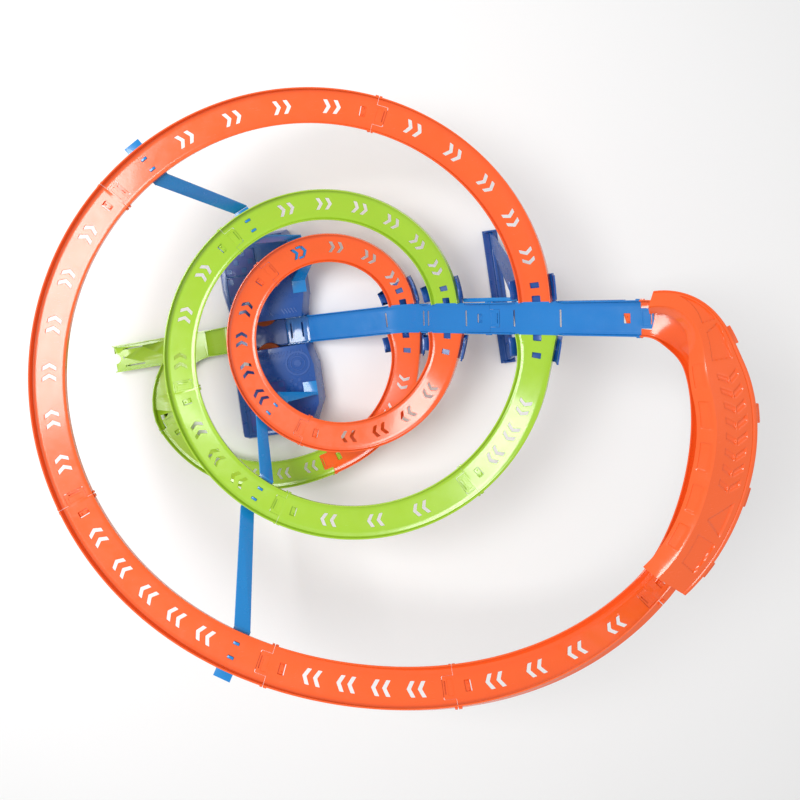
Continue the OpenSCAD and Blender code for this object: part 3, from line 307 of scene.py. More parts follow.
# Moulded track plastic: tough, glossy and a little uneven, with fine scuffs along the way the cars run.
# The loops are orange and green, the ramp blue; all of them share one recipe.
def moulded_plastic(name, colour, rough=0.2, coat=0.5, scuff=0.5, spread=0.05, clear=0.0):
    """Two close tones under slow noise, a rougher patchy gloss, mould grain and hair scratches."""
    mat = bpy.data.materials.new(name)
    mat.use_nodes = True
    links = mat.node_tree.links
    shader = mat.node_tree.nodes["Principled BSDF"]
    base = np.array(linear(colour))
    where = node(mat, "ShaderNodeTexCoord")
    drift = node(mat, "ShaderNodeTexNoise", Scale=14.0, Detail=3.0, Roughness=0.55)
    tone = node(mat, "ShaderNodeMix", data_type="RGBA")
    tone.inputs["A"].default_value = tuple(base[:3] * (1 - spread)) + (1,)
    tone.inputs["B"].default_value = tuple(np.minimum(1, base[:3] * (1 + spread) + 0.004)) + (1,)
    links.new(where.outputs["Object"], drift.inputs["Vector"])
    links.new(drift.outputs["Fac"], tone.inputs["Factor"])
    # hair scratches: noise drawn out along two directions
    stretch = node(mat, "ShaderNodeMapping", Scale=(40.0, 900.0, 900.0), Rotation=(0.0, 0.0, 0.6))
    hair = node(mat, "ShaderNodeTexNoise", Scale=1.0, Detail=4.0, Roughness=0.7)
    links.new(where.outputs["Object"], stretch.inputs["Vector"])
    links.new(stretch.outputs["Vector"], hair.inputs["Vector"])
    scratch = node(mat, "ShaderNodeMapRange", **{"From Min": 0.62, "From Max": 0.75})
    links.new(hair.outputs["Fac"], scratch.inputs["Value"])
    pale = node(mat, "ShaderNodeMix", data_type="RGBA")
    pale.inputs["B"].default_value = tuple(np.minimum(1, base[:3] * 1.1 + 0.03)) + (1,)
    faint = node(mat, "ShaderNodeMath", operation="MULTIPLY")
    faint.inputs[1].default_value = 0.35 * scuff
    links.new(scratch.outputs["Result"], faint.inputs[0])
    links.new(faint.outputs["Value"], pale.inputs["Factor"])
    links.new(tone.outputs["Result"], pale.inputs["A"])
    links.new(pale.outputs["Result"], shader.inputs["Base Color"])
    # gloss: patches of handling marks and the scratches
    patch = node(mat, "ShaderNodeTexNoise", Scale=55.0, Detail=4.0, Roughness=0.6)
    links.new(where.outputs["Object"], patch.inputs["Vector"])
    gloss = node(mat, "ShaderNodeMapRange", **{"From Min": 0.3, "From Max": 0.7, "To Min": rough * 0.8,
                                               "To Max": rough * 1.35})
    links.new(patch.outputs["Fac"], gloss.inputs["Value"])
    worn = node(mat, "ShaderNodeMath", operation="ADD")
    links.new(gloss.outputs["Result"], worn.inputs[0])
    links.new(faint.outputs["Value"], worn.inputs[1])
    links.new(worn.outputs["Value"], shader.inputs["Roughness"])
    # mould grain and a faint orange-peel
    grain = node(mat, "ShaderNodeTexNoise", Scale=1400.0, Detail=2.0)
    peel = node(mat, "ShaderNodeTexNoise", Scale=120.0, Detail=1.0)
    links.new(where.outputs["Object"], grain.inputs["Vector"])
    links.new(where.outputs["Object"], peel.inputs["Vector"])
    fine = node(mat, "ShaderNodeBump", Strength=0.06, Distance=0.0002)
    coarse = node(mat, "ShaderNodeBump", Strength=0.10, Distance=0.0006)
    links.new(grain.outputs["Fac"], fine.inputs["Height"])
    links.new(peel.outputs["Fac"], coarse.inputs["Height"])
    links.new(fine.outputs["Normal"], coarse.inputs["Normal"])
    links.new(coarse.outputs["Normal"], shader.inputs["Normal"])
    shader.inputs["IOR"].default_value = 1.5
    shader.inputs["Coat Weight"].default_value = coat
    shader.inputs["Coat Roughness"].default_value = 0.08
    if clear:
        shader.inputs["Transmission Weight"].default_value = clear
    return mat


orange_track = moulded_plastic("orange_track", "#F3601F", coat=0.35)
green_track = moulded_plastic("green_track", "#A2CC2C", coat=0.35)
blue_track = moulded_plastic("blue_track", "#0A78C6", coat=0.35)


def rounded(points, radius, steps=4):
    """A polygon with each corner replaced by a short arc (a quadratic curve through the corner)."""
    p = np.array(points, float)
    before, after = np.roll(p, 1, 0), np.roll(p, -1, 0)
    out = []
    for q, b, a in zip(p, before, after):
        r = min(radius, 0.45 * np.linalg.norm(b - q), 0.45 * np.linalg.norm(a - q))
        u = q + (b - q) / np.linalg.norm(b - q) * r
        v = q + (a - q) / np.linalg.norm(a - q) * r
        w = np.linspace(0, 1, steps)[:, None]
        out.append(u * (1 - w) ** 2 + q * 2 * w * (1 - w) + v * w ** 2)
    return np.vstack(out)


def grown(points, by):
    """A polygon moved outwards by the same amount all round (counterclockwise, mitred)."""
    p = np.array(points, float)
    d0 = unit(p - np.roll(p, 1, 0))
    d1 = unit(np.roll(p, -1, 0) - p)
    n0, n1 = np.stack([d0[:, 1], -d0[:, 0]], -1), np.stack([d1[:, 1], -d1[:, 0]], -1)
    n = n0 + n1
    return p + n * (by / np.maximum(0.35, (n * n).sum(1) / 2))[:, None]


def inside(points, polygon):
    """Even-odd test of many points against one polygon."""
    x, y = points[:, 0:1], points[:, 1:2]
    a, b = polygon, np.roll(polygon, -1, 0)
    up = (a[:, 1] > y) != (b[:, 1] > y)
    rise = np.where(b[:, 1] == a[:, 1], 1e-12, b[:, 1] - a[:, 1])
    return (up & (x < (b[:, 0] - a[:, 0]) * (y - a[:, 1]) / rise + a[:, 0])).sum(1) % 2 == 1


def sheet_mesh(outline, holes, step):
    """Flat triangles that fill an outline round its holes, with a grid of points inside them."""
    lo, hi = outline.min(0), outline.max(0)
    gx, gy = np.meshgrid(np.arange(lo[0] + step[0] / 2, hi[0], step[0]),
                         np.arange(lo[1] + step[1] / 2, hi[1], step[1]))
    grid = np.stack([gx.ravel(), gy.ravel()], -1)
    keep = inside(grid, outline)
    edge_points = np.vstack([outline] + holes)
    for h in holes:
        keep &= ~inside(grid, grown(h, 0.9))
    grid = grid[keep]
    near = np.min(np.linalg.norm(grid[:, None] - edge_points[None], axis=-1), axis=1)
    grid = grid[near > 0.8]
    loops_at, edges, start = [outline] + holes, [], 0
    for ring in loops_at:
        n = len(ring)
        edges += [(start + i, start + (i + 1) % n) for i in range(n)]
        start += n
    verts = np.vstack(loops_at + [grid])
    out = delaunay_2d_cdt([tuple(v) for v in verts], edges, [], 0, 1e-5)
    v = np.array([tuple(q) for q in out[0]])
    f = np.array([tuple(q) for q in out[2]])
    mid = v[f].mean(1)
    keep = inside(mid, outline)
    for h in holes:
        keep &= ~inside(mid, h)
    return v, f[keep]


class Shell:
    """Points and faces gathered for one piece, welded into a closed mesh at the end."""

    def __init__(self):
        self.points, self.faces, self.count = [], [], 0

    def add(self, points, faces):
        points = np.asarray(points, float).reshape(-1, 3)
        self.faces += [[int(i) + self.count for i in f] for f in faces]
        self.points.append(points)
        self.count += len(points)

    def grid(self, points, close=False):
        """Quads between the rows of a grid of points."""
        n, m = points.shape[:2]
        i, j = np.meshgrid(np.arange(n - 1), np.arange(m if close else m - 1), indexing="ij")
        a, b = i * m + j, i * m + (j + 1) % m
        self.add(points, np.stack([a, b, b + m, a + m], -1).reshape(-1, 4))

    def ring(self, rows):
        """Quads between closed rings that have the same number of points."""
        self.grid(np.stack(rows), close=True)

    def cap(self, points):
        self.add(points, [range(len(points))])

    def piece(self, name, material, body, slot, sharp=32, weld=3e-6):
        mesh = bpy.data.meshes.new(name)
        mesh.from_pydata((np.vstack(self.points) * 0.001).tolist(), [], self.faces)
        bm = bmesh.new()
        bm.from_mesh(mesh)
        bmesh.ops.remove_doubles(bm, verts=bm.verts, dist=weld)
        bmesh.ops.dissolve_degenerate(bm, edges=bm.edges, dist=1e-7)
        bmesh.ops.recalc_face_normals(bm, faces=bm.faces)
        bm.to_mesh(mesh)
        bm.free()
        mesh.shade_smooth()
        mesh.set_sharp_from_angle(angle=np.radians(sharp))
        mesh.materials.append(material)
        obj = bpy.data.objects.new(name, mesh)
        bpy.context.scene.collection.objects.link(obj)
        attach(obj, body)
        return obj


# A wall with its fillet, leaning face, rolled lip and the low rail beside it. Each point is
# [outwards from the clear width, up], from the floor's top round to its underside.
wall_profile = np.array([
    (-2.6, 0.0), (-2.2, 0.2), (-1.1, 0.24), (-0.5, 0.4), (-0.14, 0.8), (0.02, 1.4), (0.3, 4.0), (0.58, 7.1),
    (0.42, 7.5), (0.5, 8.0), (0.85, 8.4), (1.4, 8.6), (2.0, 8.45), (2.38, 8.05), (2.42, 7.55), (2.2, 7.2),
    (2.0, 4.0), (1.7, -0.6), (1.55, -1.4), (1.1, -1.8), (-2.6, -1.8)])
floor_edge = 2.6


def channel_shell(shell, run, holes, notch_start=None, notch_end=None, wall_up=None, step=4.0, chamfer=0.35,
                  s0=None, s1=None):
    """A floor with openings between two walls. The floor is a flat sheet bent along the run, and each
    wall is the profile carried along it. A notch is (half width, depth) cut into an end's floor."""
    s0 = snap_gap / 2 if s0 is None else s0
    s1 = run.length - snap_gap / 2 if s1 is None else s1
    stations = np.linspace(s0, s1, max(3, int((s1 - s0) / step)))
    edge = run.width(stations) - floor_edge

    def end_line(s, notch, way):
        if notch is None:
            return [(s, 0.0)]
        w, d = notch
        return [(s, -w * way), (s + way * (d - 1), -w * way), (s + way * d, -(w - 1) * way),
                (s + way * d, (w - 1) * way), (s + way * (d - 1), w * way), (s, w * way)]

    outline = np.vstack([
        np.stack([stations, -edge], -1), end_line(s1, notch_end, -1)[::-1] if notch_end else np.zeros((0, 2)),
        np.stack([stations, edge], -1)[::-1],
        end_line(s0, notch_start, 1)[::-1] if notch_start else np.zeros((0, 2))])
    top, low = sheet_mesh(outline, [grown(h, chamfer) for h in holes], (step * 1.3, 6.0)), \
        sheet_mesh(outline, holes, (step * 2.5, 12.0))
    for (v, f), b, flip in ((top, 0.0, False), (low, -floor_t, True)):
        shell.add(run.place(v[:, 0], v[:, 1], b), f[:, ::-1] if flip else f)
    for h in holes:
        g = grown(h, chamfer)
        shell.ring([run.place(g[:, 0], g[:, 1], 0.0), run.place(h[:, 0], h[:, 1], -chamfer),
                    run.place(h[:, 0], h[:, 1], -floor_t)])
    # the two ends of the floor, between the walls
    n = len(stations)
    first_end = outline[n - 1:len(outline) - n + 1 - (0 if notch_start is None else 6)]
    last_end_line = np.vstack([outline[-1 if notch_start is None else -7:], outline[:1]])
    for ends in (first_end, last_end_line):
        shell.grid(np.stack([run.place(ends[:, 0], ends[:, 1], b) for b in (0.0, -floor_t)]))
    rise = np.ones(n) if wall_up is None else wall_up(stations)
    w = run.width(stations)
    for side in (-1, 1):
        o, b = wall_profile[:, 0], wall_profile[:, 1]
        a = side * (w[:, None] + o[None])
        up = np.where(b > 0.25, 0.25 + (b - 0.25) * rise[:, None], b[None] + 0 * rise[:, None])
        rows = run.place(stations[:, None] + 0 * a, a, up)
        shell.grid(rows)
        shell.cap(rows[0])
        shell.cap(rows[-1])


def bar_shell(shell, run, s0, s1, a0, a1, b0, b1, soft=0.35, edge=0, steps=None):
    """A bar with rounded edges that follows the run, from s0 to s1, a0 to a1 and b0 to b1."""
    steps = steps or max(2, int((s1 - s0) / 6) + 1)
    r = min(soft, (a1 - a0) / 3, (b1 - b0) / 3)
    ring = rounded([(a0, b0), (a1, b0), (a1, b1), (a0, b1)], r, 3)
    middle = ring.mean(0)
    s = np.concatenate([[s0], np.linspace(s0 + r, s1 - r, steps), [s1]])
    shrink = np.array([1] + [0] * steps + [1]) * r
    rows = []
    for si, k in zip(s, shrink):
        size = np.array([a1 - a0, b1 - b0]) / 2
        p = middle + (ring - middle) * (1 - k / size)
        rows.append(run.place(si, p[:, 0] + edge * run.width(si), p[:, 1]))
    shell.grid(np.stack(rows), close=True)
    shell.cap(rows[0])
    shell.cap(rows[-1])


def arrow(s, way=1):
    """The outline of one arrow opening, pointing along the run."""
    bar = [(-6, -9), (-0.5, -9), (4.75, 0), (-0.5, 9), (-6, 9), (-0.75, 0)]
    return rounded(np.array(bar) * [way, way] + [s, 0], 0.7, 3)


def box_hole(s, a, length, width, soft=0.8):
    l, w = length / 2, width / 2
    return rounded([(s - l, a - w), (s + l, a - w), (s + l, a + w), (s - l, a + w)], soft, 3)


def tongue_shell(shell, run):
    """The tongue at the end of a piece: a thin plate with a slit, let into the next piece's floor."""
    end = run.length
    outline = rounded([(end - 3, -13), (end + 14.8, -13), (end + 14.8, 13), (end - 3, 13)], 1.6, 4)
    slit = box_hole(end + 12, 0, 1.6, 15, 0.5)
    inner_rim = [box_hole(end + 5.5, 0, 7.5, 19, 1.0)]
    v, f = sheet_mesh(outline, [slit] + inner_rim, (5.0, 5.0))
    shell.add(run.place(v[:, 0], v[:, 1], -0.12), f)
    v, f = sheet_mesh(outline, [slit], (6.0, 8.0))
    shell.add(run.place(v[:, 0], v[:, 1], -1.6), f[:, ::-1])
    shell.grid(np.stack([run.place(outline[:, 0], outline[:, 1], b) for b in (-1.6, -0.12)]), close=True)
    shell.ring([run.place(slit[:, 0], slit[:, 1], b) for b in (-0.12, -1.6)])
    rim = inner_rim[0]
    sunk = grown(rim, -0.3)
    shell.ring([run.place(rim[:, 0], rim[:, 1], -0.12), run.place(sunk[:, 0], sunk[:, 1], -0.5)])
    v, f = sheet_mesh(sunk, [], (5.0, 5.0))
    shell.add(run.place(v[:, 0], v[:, 1], -0.5), f)


def joint_before(shell, run):
    """What a piece carries for the joint at its start: the arm with its catches, and two ears."""
    bar_shell(shell, run, -20, 26, -10, 10, -3.7, -2.1, 0.4)
    bar_shell(shell, run, 17, 25, -9, 9, -2.9, -0.8, 0.4)
    for s in (-1, 1):
        bar_shell(shell, run, -18.2, -15.8, s * 4 - 1.3, s * 4 + 1.3, -3.0, -0.5, 0.3)
        bar_shell(shell, run, 0.5, 4, min(0.64 * s, 4 * s), max(0.64 * s, 4 * s), 1, 5.5, 0.5, s)


def joint_after(shell, run):
    tongue_shell(shell, run)
    for s in (-1, 1):
        bar_shell(shell, run, run.length - 5, run.length - 0.5, min(0.64 * s, 4 * s), max(0.64 * s, 4 * s),
                  1, 5.5, 0.5, s)


# The sixteen pieces of the four loops. Each is one moulding, with arrow openings in its floor, a window
# over the next piece's catches, and slots where a strut's clips come through.
joints = [(0, 0.46, 1), (0, 0.37, 0.685, 1), (0, 0.16, 0.37, 0.53, 0.69, 1),
          (0, 0.15, 0.3, 0.48, 0.665, 0.825, 1)]
strut_a_at = (0, 0.75, 0.715, 0.69)
strut_b_at = (0, 0.44, 0.4, 0.33)
arrow_runs = [
    [(0, 0.11, 0.19, 2), (1, 0.55, 0.88, 4)],
    [(0, 0.11, 0.29, 4), (1, 0.47, 0.62, 4), (2, 0.75, 0.94, 4)],
    [(0, 0.07, 0.125, 3), (1, 0.22, 0.32, 3), (2, 0.425, 0.49, 3), (3, 0.56, 0.65, 3), (4, 0.755, 0.95, 6)],
    [(0, 0.03, 0.12, 4), (1, 0.18, 0.265, 4), (2, 0.355, 0.455, 5), (3, 0.505, 0.64, 6), (4, 0.715, 0.8, 4),
     (5, 0.85, 0.965, 5)]]
loop_names = [
    ["last_loop_orange", "last_loop_green"], ["inner_loop_%d" % i for i in (1, 2, 3)],
    ["middle_loop_%d" % i for i in (1, 2, 3, 4, 5)], ["outer_loop_%d" % i for i in (1, 2, 3, 4, 5, 6)]]

for k, names in enumerate(loop_names):
    for i, name in enumerate(names):
        t0, t1 = joints[k][i], joints[k][i + 1]
        run = Run(k, t0, t1)
        at_crossing = i == 0 and k != OUTER, i == len(names) - 1 and k != LAST
        holes = []
        for piece, first, last, n in arrow_runs[k]:
            if piece == i:
                for t in np.linspace(first, last, n):
                    holes += [arrow(run.where(t) + d) for d in (-7, 7)]
        for t in (strut_a_at[k], strut_b_at[k]):
            if t0 < t < t1:
                holes += [box_hole(run.where(t), s * 8.5, 8.6, 3.6) for s in (-1, 1)]
        if at_crossing[0]:
            holes.append(box_hole(30, 0, 8, 13))
        holes.append(box_hole(run.length - (24 if at_crossing[1] else 17), 0, 8, 13))
        shell = Shell()
        channel_shell(shell, run, holes, (6.3, 9.3) if at_crossing[0] else (13.3, 15.3),
                      (6.3, 9.3) if at_crossing[1] else None,
                      s0=0 if at_crossing[0] else None, s1=run.length if at_crossing[1] else None)
        if not at_crossing[0]:
            joint_before(shell, run)
        if not at_crossing[1]:
            joint_after(shell, run)
        green = k == MIDDLE or name == "last_loop_green"
        made = shell.piece(name + "_moulding", green_track if green else orange_track, "track_set",
                           "green_plastic" if green else "orange_plastic")
        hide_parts(name)


# The blue ramp: two mouldings from the booster's mouth to the high curve. Its walls are cut away at
# the three crossings, and its floor has a slot on each side of every crossing.
def ramp_walls(crossings):
    def rise(s):
        up = np.ones_like(s)
        x = run.at(s)
        for c in crossings:
            up = np.minimum(up, np.clip((np.abs(x - crossing_x[c]) - 24) / 5, 0.02, 1))
        return up
    return rise


for name, x0, x1, crossings in (("lower_ramp", 66.0, 346.0, (0, 1)), ("upper_ramp", 346.0, ramp_top_x, (2,))):
    run = Run(RAMP, x0, x1)
    holes = [box_hole(run.length - 17, 0, 8, 13)]
    for c in crossings:
        for s in (-1, 1):
            holes.append(box_hole(run.where(moved(RAMP, crossing_x[c], s * 34)), 0, 2.5, 24, 0.6))
    shell = Shell()
    channel_shell(shell, run, holes, (13.3, 15.3) if name == "upper_ramp" else None, None,
                  ramp_walls(crossings), step=3.0)
    if name == "upper_ramp":
        joint_before(shell, run)
    else:
        for s in (-1, 1):
            bar_shell(shell, run, 0.5, 4, min(0.64 * s, 4 * s), max(0.64 * s, 4 * s), 1, 5.5, 0.5, s)
    joint_after(shell, run)
    made = shell.piece(name + "_moulding", blue_track, "track_set", "blue_plastic")
    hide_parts(name)


# The rack on the upper ramp: a row of small upright ribs moulded on the outside of its left wall.
run = Run(RAMP, 346.0, ramp_top_x)
rack = Shell()
for s in np.arange(run.where(424.0), run.where(492.0), 2.4):
    bar_shell(rack, run, s, s + 1.1, 1.9, 3.3, 1.5, 7.2, 0.25, 1, 2)
bar_shell(rack, run, run.where(424.0) - 1, run.where(492.0), 1.7, 2.6, 1.0, 2.0, 0.25, 1)
rack.piece("ramp_rack", blue_track, "track_set", "blue_plastic")


# The high curve: the moulding that turns the cars round, banked until it stands almost on edge.
run = Run(CURVE, 0.0, 1.0)
shell = Shell()
channel_shell(shell, run, [box_hole(run.length - 17, 0, 8, 13)], (13.3, 15.3), None)
joint_before(shell, run)
joint_after(shell, run)
curve = shell.piece("curve_moulding", orange_track, "track_set", "orange_plastic")
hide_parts("curve_track")


# The canopy over the high curve: one thin orange moulding hung on the curve's outer wall. Its roof
# rises to a ridge, and a stepped fascia falls from the ridge to the open inner edge.
canopy_start, canopy_end, canopy_share = 0.04, 0.93, 0.89
canopy_widest, canopy_bow = 67, 24
roof_rise, ridge_up = 8, 38
roof_along, roof_across = 330, 54
panel_sink, step_sink = 1.9, 1.8


def panel(x, y, corners, edge=1.4):
    """1 inside a convex outline and 0 outside: the smallest distance to its sides, eased over the edge."""
    p = np.array(corners, float)
    area = np.sum(p[:, 0] * np.roll(p[:, 1], -1) - np.roll(p[:, 0], -1) * p[:, 1])
    p = p if area > 0 else p[::-1]
    depth = np.full(x.shape, 1e9)
    for a, b in zip(p, np.roll(p, -1, 0)):
        d = (b - a) / np.linalg.norm(b - a)
        depth = np.minimum(depth, d[0] * (y - a[1]) - d[1] * (x - a[0]))
    u = np.clip(depth / edge, 0, 1)
    return u * u * (3 - 2 * u)


def canopy_reach(t):
    """How far the canopy's rim stands out: the banked track's half width and a bow of half a sine wave."""
    bow = canopy_bow * np.sin(np.pi * np.clip((t - canopy_start) / canopy_share, 0, 1))
    return outer_w * np.cos(np.radians(curve_bank(t))) + bow


def canopy_rows(t):
    """The canopy's closed section at each place: out along the roof from the skirt, round the fascia's
    edge and back underneath. The roof climbs 8 mm to its ridge, less the depth of its panels."""
    mid, side, up = frame_at(CANOPY, t)
    w = canopy_reach(t)
    u = np.clip((t - canopy_start) / 0.34, 0, 1)
    d = canopy_widest * (0.4 + 0.6 * u * u * (3 - 2 * u) - 0.45 * np.maximum(0, t - 0.6))
    skirt_up = np.array([-26, -25.4, -12, 4, 18, 27, 29])
    skirt_out = np.array([8.0, 8.05, 8.5, 9.1, 9.6, 9.92, 9.7])
    roof = np.linspace(0.02, 0.98, 62)
    fall = np.linspace(0, 1, 16)
    x = t[:, None] * roof_along + 0 * roof
    y = roof[None] * roof_across + 0 * x
    depth = 0.9 * (panel(y, x, [(5.2, -9), (7.6, -9), (7.6, 999), (5.2, 999)], 0.8))
    shapes = [[(30, 12), (62, 10), (58, 40)], [(64, 12), (96, 14), (92, 44), (66, 40)],
              [(214, 14), (246, 14), (232, 42)], [(252, 14), (284, 16), (278, 42), (246, 44)]]
    for i in range(8):
        a = 104 + i * 13.0
        shapes += [[(a, 14), (a + 6, 14), (a + 12, 27), (a + 6, 27)],
                   [(a + 6, 28), (a + 12, 28), (a + 6, 42), (a, 42)]]
    for shape in shapes:
        depth += panel_sink * panel(x, y, shape)
    steps = 0 * t[:, None] + 0 * fall[None]
    for a in (90, 128, 166, 204, 242):
        steps += step_sink * panel(t[:, None] * roof_along + 0 * fall, fall[None] * 14 + 0 * t[:, None],
                                   [(a, 2.5), (a + 26, 2.5), (a + 26, 11.5), (a, 11.5)])
    out, rise = [], []
    for a, b in zip(skirt_out, skirt_up):
        out.append(w + a)
        rise.append(0 * t + b)
    for j, v in enumerate(roof):
        out.append(w + 10 - v * 0.8 * d)
        rise.append(30 + roof_rise * v - 0.5 * np.exp(-(v / 0.02) ** 2) - depth[:, j])
    for j, v in enumerate(fall):
        out.append(w + 10 - 0.8 * d - v * (0.2 * d + 1.6))
        rise.append(ridge_up - 14 * v ** 1.15 - steps[:, j])
    for a, share, b in ((9.2, 1.0, 23.2), (10.6, 1.0, 24.0), (11.4, 0.81, 34.6), (9.0, 0.5, 32.0),
                        (7.8, 0.05, 27.4), (7.4, 0.0, 20.0), (5.8, 0.0, -25.4), (6.0, 0.0, -26.0)):
        out.append(w + a - share * d)
        rise.append(0 * t + b)
    a, b = np.stack(out, 1), np.stack(rise, 1)
    return mid[:, None] + side[:, None] * a[..., None] + up[:, None] * b[..., None]


shell = Shell()
rows = canopy_rows(np.linspace(canopy_start, canopy_end, 300))
shell.grid(rows, close=True)
shell.cap(rows[0])
shell.cap(rows[-1])
for t in (0.24, 0.44, 0.64, 0.84):
    ts = t + np.array([-8, -7.5, -3, 3, 7.5, 8]) / 350
    mid, side, up = frame_at(CANOPY, ts)
    w = canopy_reach(ts)
    ring = rounded([(7.5, 18.2), (17.6, 18.2), (17.6, 22), (7.5, 22)], 1.0, 3)
    small = ring.mean(0) + (ring - ring.mean(0)) * 0.93
    rows = [m + s * (wi + p[:, :1]) + u * p[:, 1:] for m, s, u, wi, p in
            zip(mid, side, up, w, [small, ring, ring, ring, ring, small])]
    shell.grid(np.stack(rows), close=True)
    shell.cap(rows[0])
    shell.cap(rows[-1])
canopy = shell.piece("canopy_moulding", orange_track, "track_set", "orange_plastic")
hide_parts("curve_cover")


# The blue parts that carry the track: guards under the crossings, the tower, the brace and the four
# struts, with the green low straight beside them. Their sharp moulded edges are slightly rounded.
navy_track = moulded_plastic("navy_plastic", "#0C4C9C", rough=0.28, coat=0.25)
strut_blue = moulded_plastic("strut_blue", "#0A82CC", rough=0.22, coat=0.3)
clear_blue = moulded_plastic("clear_blue", "#2B86D8", rough=0.12, coat=0.4, clear=0.45)


def soft_edges(name, material, body, width=0.5):
    """A copy of a CAD node, merged, with flat areas joined and its sharp edges rounded off."""
    bm = bmesh.new()
    bm.from_mesh(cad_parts[name].data)
    bmesh.ops.remove_doubles(bm, verts=bm.verts, dist=2e-6)
    bmesh.ops.dissolve_limit(bm, angle_limit=np.radians(1.5), verts=bm.verts, edges=bm.edges)
    sharp = [e for e in bm.edges if e.is_manifold and e.calc_face_angle() > np.radians(35)]
    bmesh.ops.bevel(bm, geom=sharp, offset=width * 0.001, offset_type="OFFSET", segments=2, profile=0.5,
                    affect="EDGES", clamp_overlap=True)
    bmesh.ops.triangulate(bm, faces=[f for f in bm.faces if len(f.verts) > 4])
    bmesh.ops.recalc_face_normals(bm, faces=bm.faces)
    mesh = bpy.data.meshes.new(name + "_soft")
    bm.to_mesh(mesh)
    bm.free()
    mesh.shade_smooth()
    mesh.set_sharp_from_angle(angle=np.radians(30))
    mesh.materials.append(material)
    obj = bpy.data.objects.new(name + "_soft", mesh)
    bpy.context.scene.collection.objects.link(obj)
    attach(obj, body)
    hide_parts(name)
    return obj


for name in ("crossing_guard_low", "crossing_guard_middle", "crossing_guard_high", "tower"):
    soft_edges(name, navy_track, "track_set")
for name in [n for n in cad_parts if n.startswith("strut") or n == "ramp_brace"]:
    soft_edges(name, strut_blue, "track_set")
soft_edges("entry_merge_track", green_track, "track_set", 0.3)
soft_edges("launch_insert", clear_blue, "track_set", 0.3)


# The booster: two navy lobes over a base tray, with the driven channel between them. The lobes carry
# panels in raised rims, small raised checks, hatched bands beside the channel and a plain ring badge.
for name in ("booster_base", "booster_cover_rear", "booster_cover_front", "booster_channel"):
    soft_edges(name, navy_track, "track_set", 0.8)
for name, body in (("battery_door_rear", "door_rear"), ("battery_door_front", "door_front")):
    soft_edges(name, navy_track, body, 0.4)
panel_blue = moulded_plastic("panel_blue", "#2A3F93", rough=0.4, coat=0.1)


def plate(shell, x0, x1, y0, y1, z0, z1, corner=1.0, soft=0.3, turn=0.0):
    """A flat rounded plate with a chamfered top, turned about its own middle."""
    ring = rounded([(x0, y0), (x1, y0), (x1, y1), (x0, y1)], corner, 4)
    mid = ring.mean(0)
    c, s = np.cos(turn), np.sin(turn)
    rows = []
    for shrink, z in ((0, z0), (0, z1 - soft), (soft, z1)):
        half = np.array([x1 - x0, y1 - y0]) / 2
        p = (ring - mid) * (1 - shrink / half)
        p = p @ np.array([[c, s], [-s, c]]) + mid
        rows.append(np.column_stack([p, np.full(len(p), z)]))
    shell.ring(rows)
    shell.cap(rows[0])
    shell.cap(rows[-1])


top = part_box("booster_cover_rear")[1][2] * 1000
panels, checks = Shell(), Shell()
for x0, x1, y0, y1 in ((-58, -8, 62, 104), (-58, -8, 108, 150), (-52, 14, -118, -80), (-52, 14, -160, -122)):
    plate(panels, x0, x1, y0, y1, top - 0.3, top + 0.35, 5, 0.2)
    for a, b, c, d in ((x0 - 1.6, x1 + 1.6, y0 - 1.6, y0), (x0 - 1.6, x1 + 1.6, y1, y1 + 1.6),
                       (x0 - 1.6, x0, y0 + 0.2, y1 - 0.2), (x1, x1 + 1.6, y0 + 0.2, y1 - 0.2)):
        plate(checks, a, b, c, d, top - 0.3, top + 1.0, 0.6, 0.3)
    nx, ny = int((x1 - x0) / 12), int((y1 - y0) / 12)
    for i in range(nx):
        for j in range(ny):
            if (i + j) % 2 == 0:
                cx, cy = x0 + (i + 0.5) * (x1 - x0) / nx, y0 + (j + 0.5) * (y1 - y0) / ny
                plate(checks, cx - 4.4, cx + 4.4, cy - 4.4, cy + 4.4, top + 0.2, top + 0.9, 1.2, 0.3)
for side in (-1, 1):
    for i in range(22):
        x = -60 + i * 5.2
        if side < 0 or not 10 < x < 24:
            plate(checks, x - 1.1, x + 1.1, side * 36 - 5, side * 36 + 5, top - 0.3, top + 0.7, 0.7, 0.3,
                  0.5 * side)
for i in range(4):
    for j in range(3):
        if (i + j) % 2 == 0:
            plate(checks, 24 + i * 7, 30 + i * 7, 84 + j * 7, 90 + j * 7, top - 0.3, top + 0.8, 0.8, 0.3)
            plate(checks, 22 + i * 7, 28 + i * 7, -100 + j * 7, -94 + j * 7, top - 0.3, top + 0.8, 0.8, 0.3)
angle = np.linspace(0, 2 * np.pi, 65)[:-1]
for inner, outer, height in ((17.6, 21.4, 1.1), (11.0, 13.0, 0.9), (0.0, 6.5, 0.9)):
    rows = [np.column_stack([40.4 + r * np.cos(angle), -54.5 + r * np.sin(angle), 0 * angle + z])
            for r, z in ((outer, top - 0.3), (outer, top + height - 0.3), (outer - 0.4, top + height),
                         (inner + 0.4, top + height), (max(inner, 0.01), top + height - 0.3),
                         (max(inner, 0.01), top - 0.3))]
    checks.grid(np.stack(rows + rows[:1]), close=True)
panels.piece("booster_panels", panel_blue, "track_set", "navy_plastic")
checks.piece("booster_checks", navy_track, "track_set", "navy_plastic")


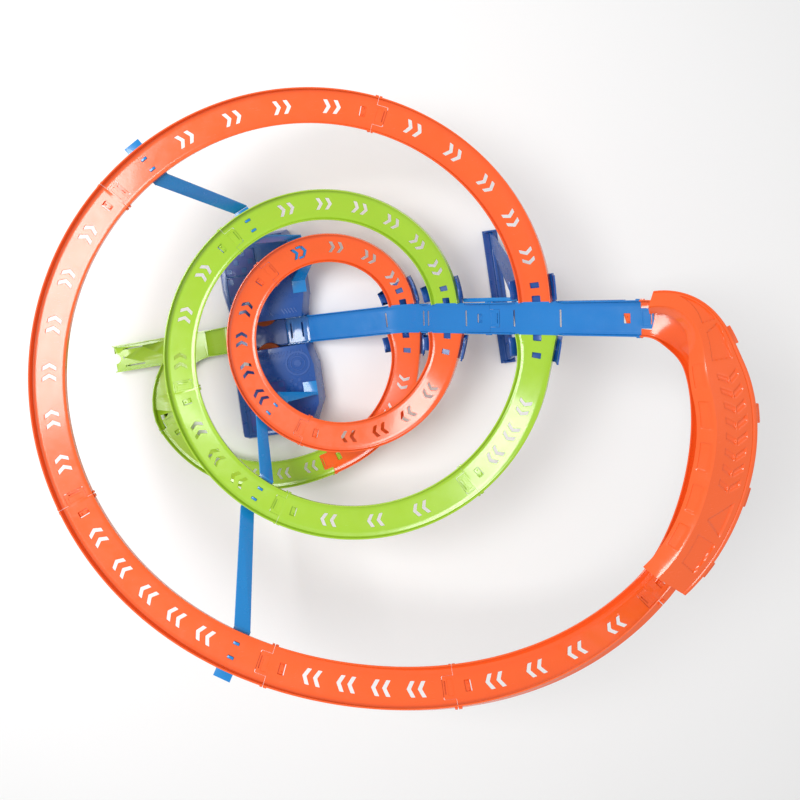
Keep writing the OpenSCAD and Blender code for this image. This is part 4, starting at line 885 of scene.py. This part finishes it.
# Working parts: foam-tyred wheels that peek into the channel, their gears and axles, the motor, the
# cells with their contacts, the switch, the pins and the screws. The CAD shapes are shown as they are.
def bare(name, colour, rough, metallic=0.0, grain=600.0, depth=0.0003, brushed=False):
    """One colour with a second close tone, uneven gloss and a fine relief; brushed metal is drawn out."""
    mat = bpy.data.materials.new(name)
    mat.use_nodes = True
    links = mat.node_tree.links
    shader = mat.node_tree.nodes["Principled BSDF"]
    shader.inputs["Metallic"].default_value = metallic
    base = np.array(linear(colour))
    where = node(mat, "ShaderNodeTexCoord")
    stretch = node(mat, "ShaderNodeMapping", Scale=(1.0, 12.0, 12.0) if brushed else (1.0, 1.0, 1.0))
    speck = node(mat, "ShaderNodeTexNoise", Scale=grain, Detail=3.0, Roughness=0.65)
    tone = node(mat, "ShaderNodeMix", data_type="RGBA")
    tone.inputs["A"].default_value = tuple(base[:3] * 0.78) + (1,)
    tone.inputs["B"].default_value = tuple(np.minimum(1, base[:3] * 1.15)) + (1,)
    gloss = node(mat, "ShaderNodeMapRange", **{"From Min": 0.3, "From Max": 0.7, "To Min": rough * 0.8,
                                               "To Max": min(1.0, rough * 1.25)})
    relief = node(mat, "ShaderNodeBump", Strength=0.5, Distance=depth)
    links.new(where.outputs["Object"], stretch.inputs["Vector"])
    links.new(stretch.outputs["Vector"], speck.inputs["Vector"])
    links.new(speck.outputs["Fac"], tone.inputs["Factor"])
    links.new(tone.outputs["Result"], shader.inputs["Base Color"])
    links.new(speck.outputs["Fac"], gloss.inputs["Value"])
    links.new(gloss.outputs["Result"], shader.inputs["Roughness"])
    links.new(speck.outputs["Fac"], relief.inputs["Height"])
    links.new(relief.outputs["Normal"], shader.inputs["Normal"])
    return mat


foam = bare("foam", "#A8501F", 0.95, grain=900.0, depth=0.0008)
steel = bare("steel", "#B9BCC0", 0.25, metallic=1.0, grain=300.0, depth=0.00005, brushed=True)
grey = bare("grey_plastic", "#565A60", 0.5, grain=500.0, depth=0.0001)
hub = bare("hub_plastic", "#C4552A", 0.4, grain=500.0, depth=0.0001)
white = bare("white_plastic", "#E2E3E6", 0.35, grain=500.0, depth=0.0001)
cell = bare("battery_case", "#3A3D42", 0.35, grain=200.0, depth=0.00005)
for name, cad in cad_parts.items():
    made = (foam if name.startswith("wheel_foam") else hub if name.startswith("wheel_hub") else
            white if name == "switch_slider" else cell if name == "batteries" else
            orange_track if name == "cover_clips" else
            grey if "gear" in name and name != "gear_pins" or name in ("switch_body", "motor_pinion") else
            steel if name.startswith(("axle", "gear_pins", "motor", "battery_contacts", "housing_screws"))
            else None)
    if made:
        cad.data.materials.clear()
        cad.data.materials.append(made)
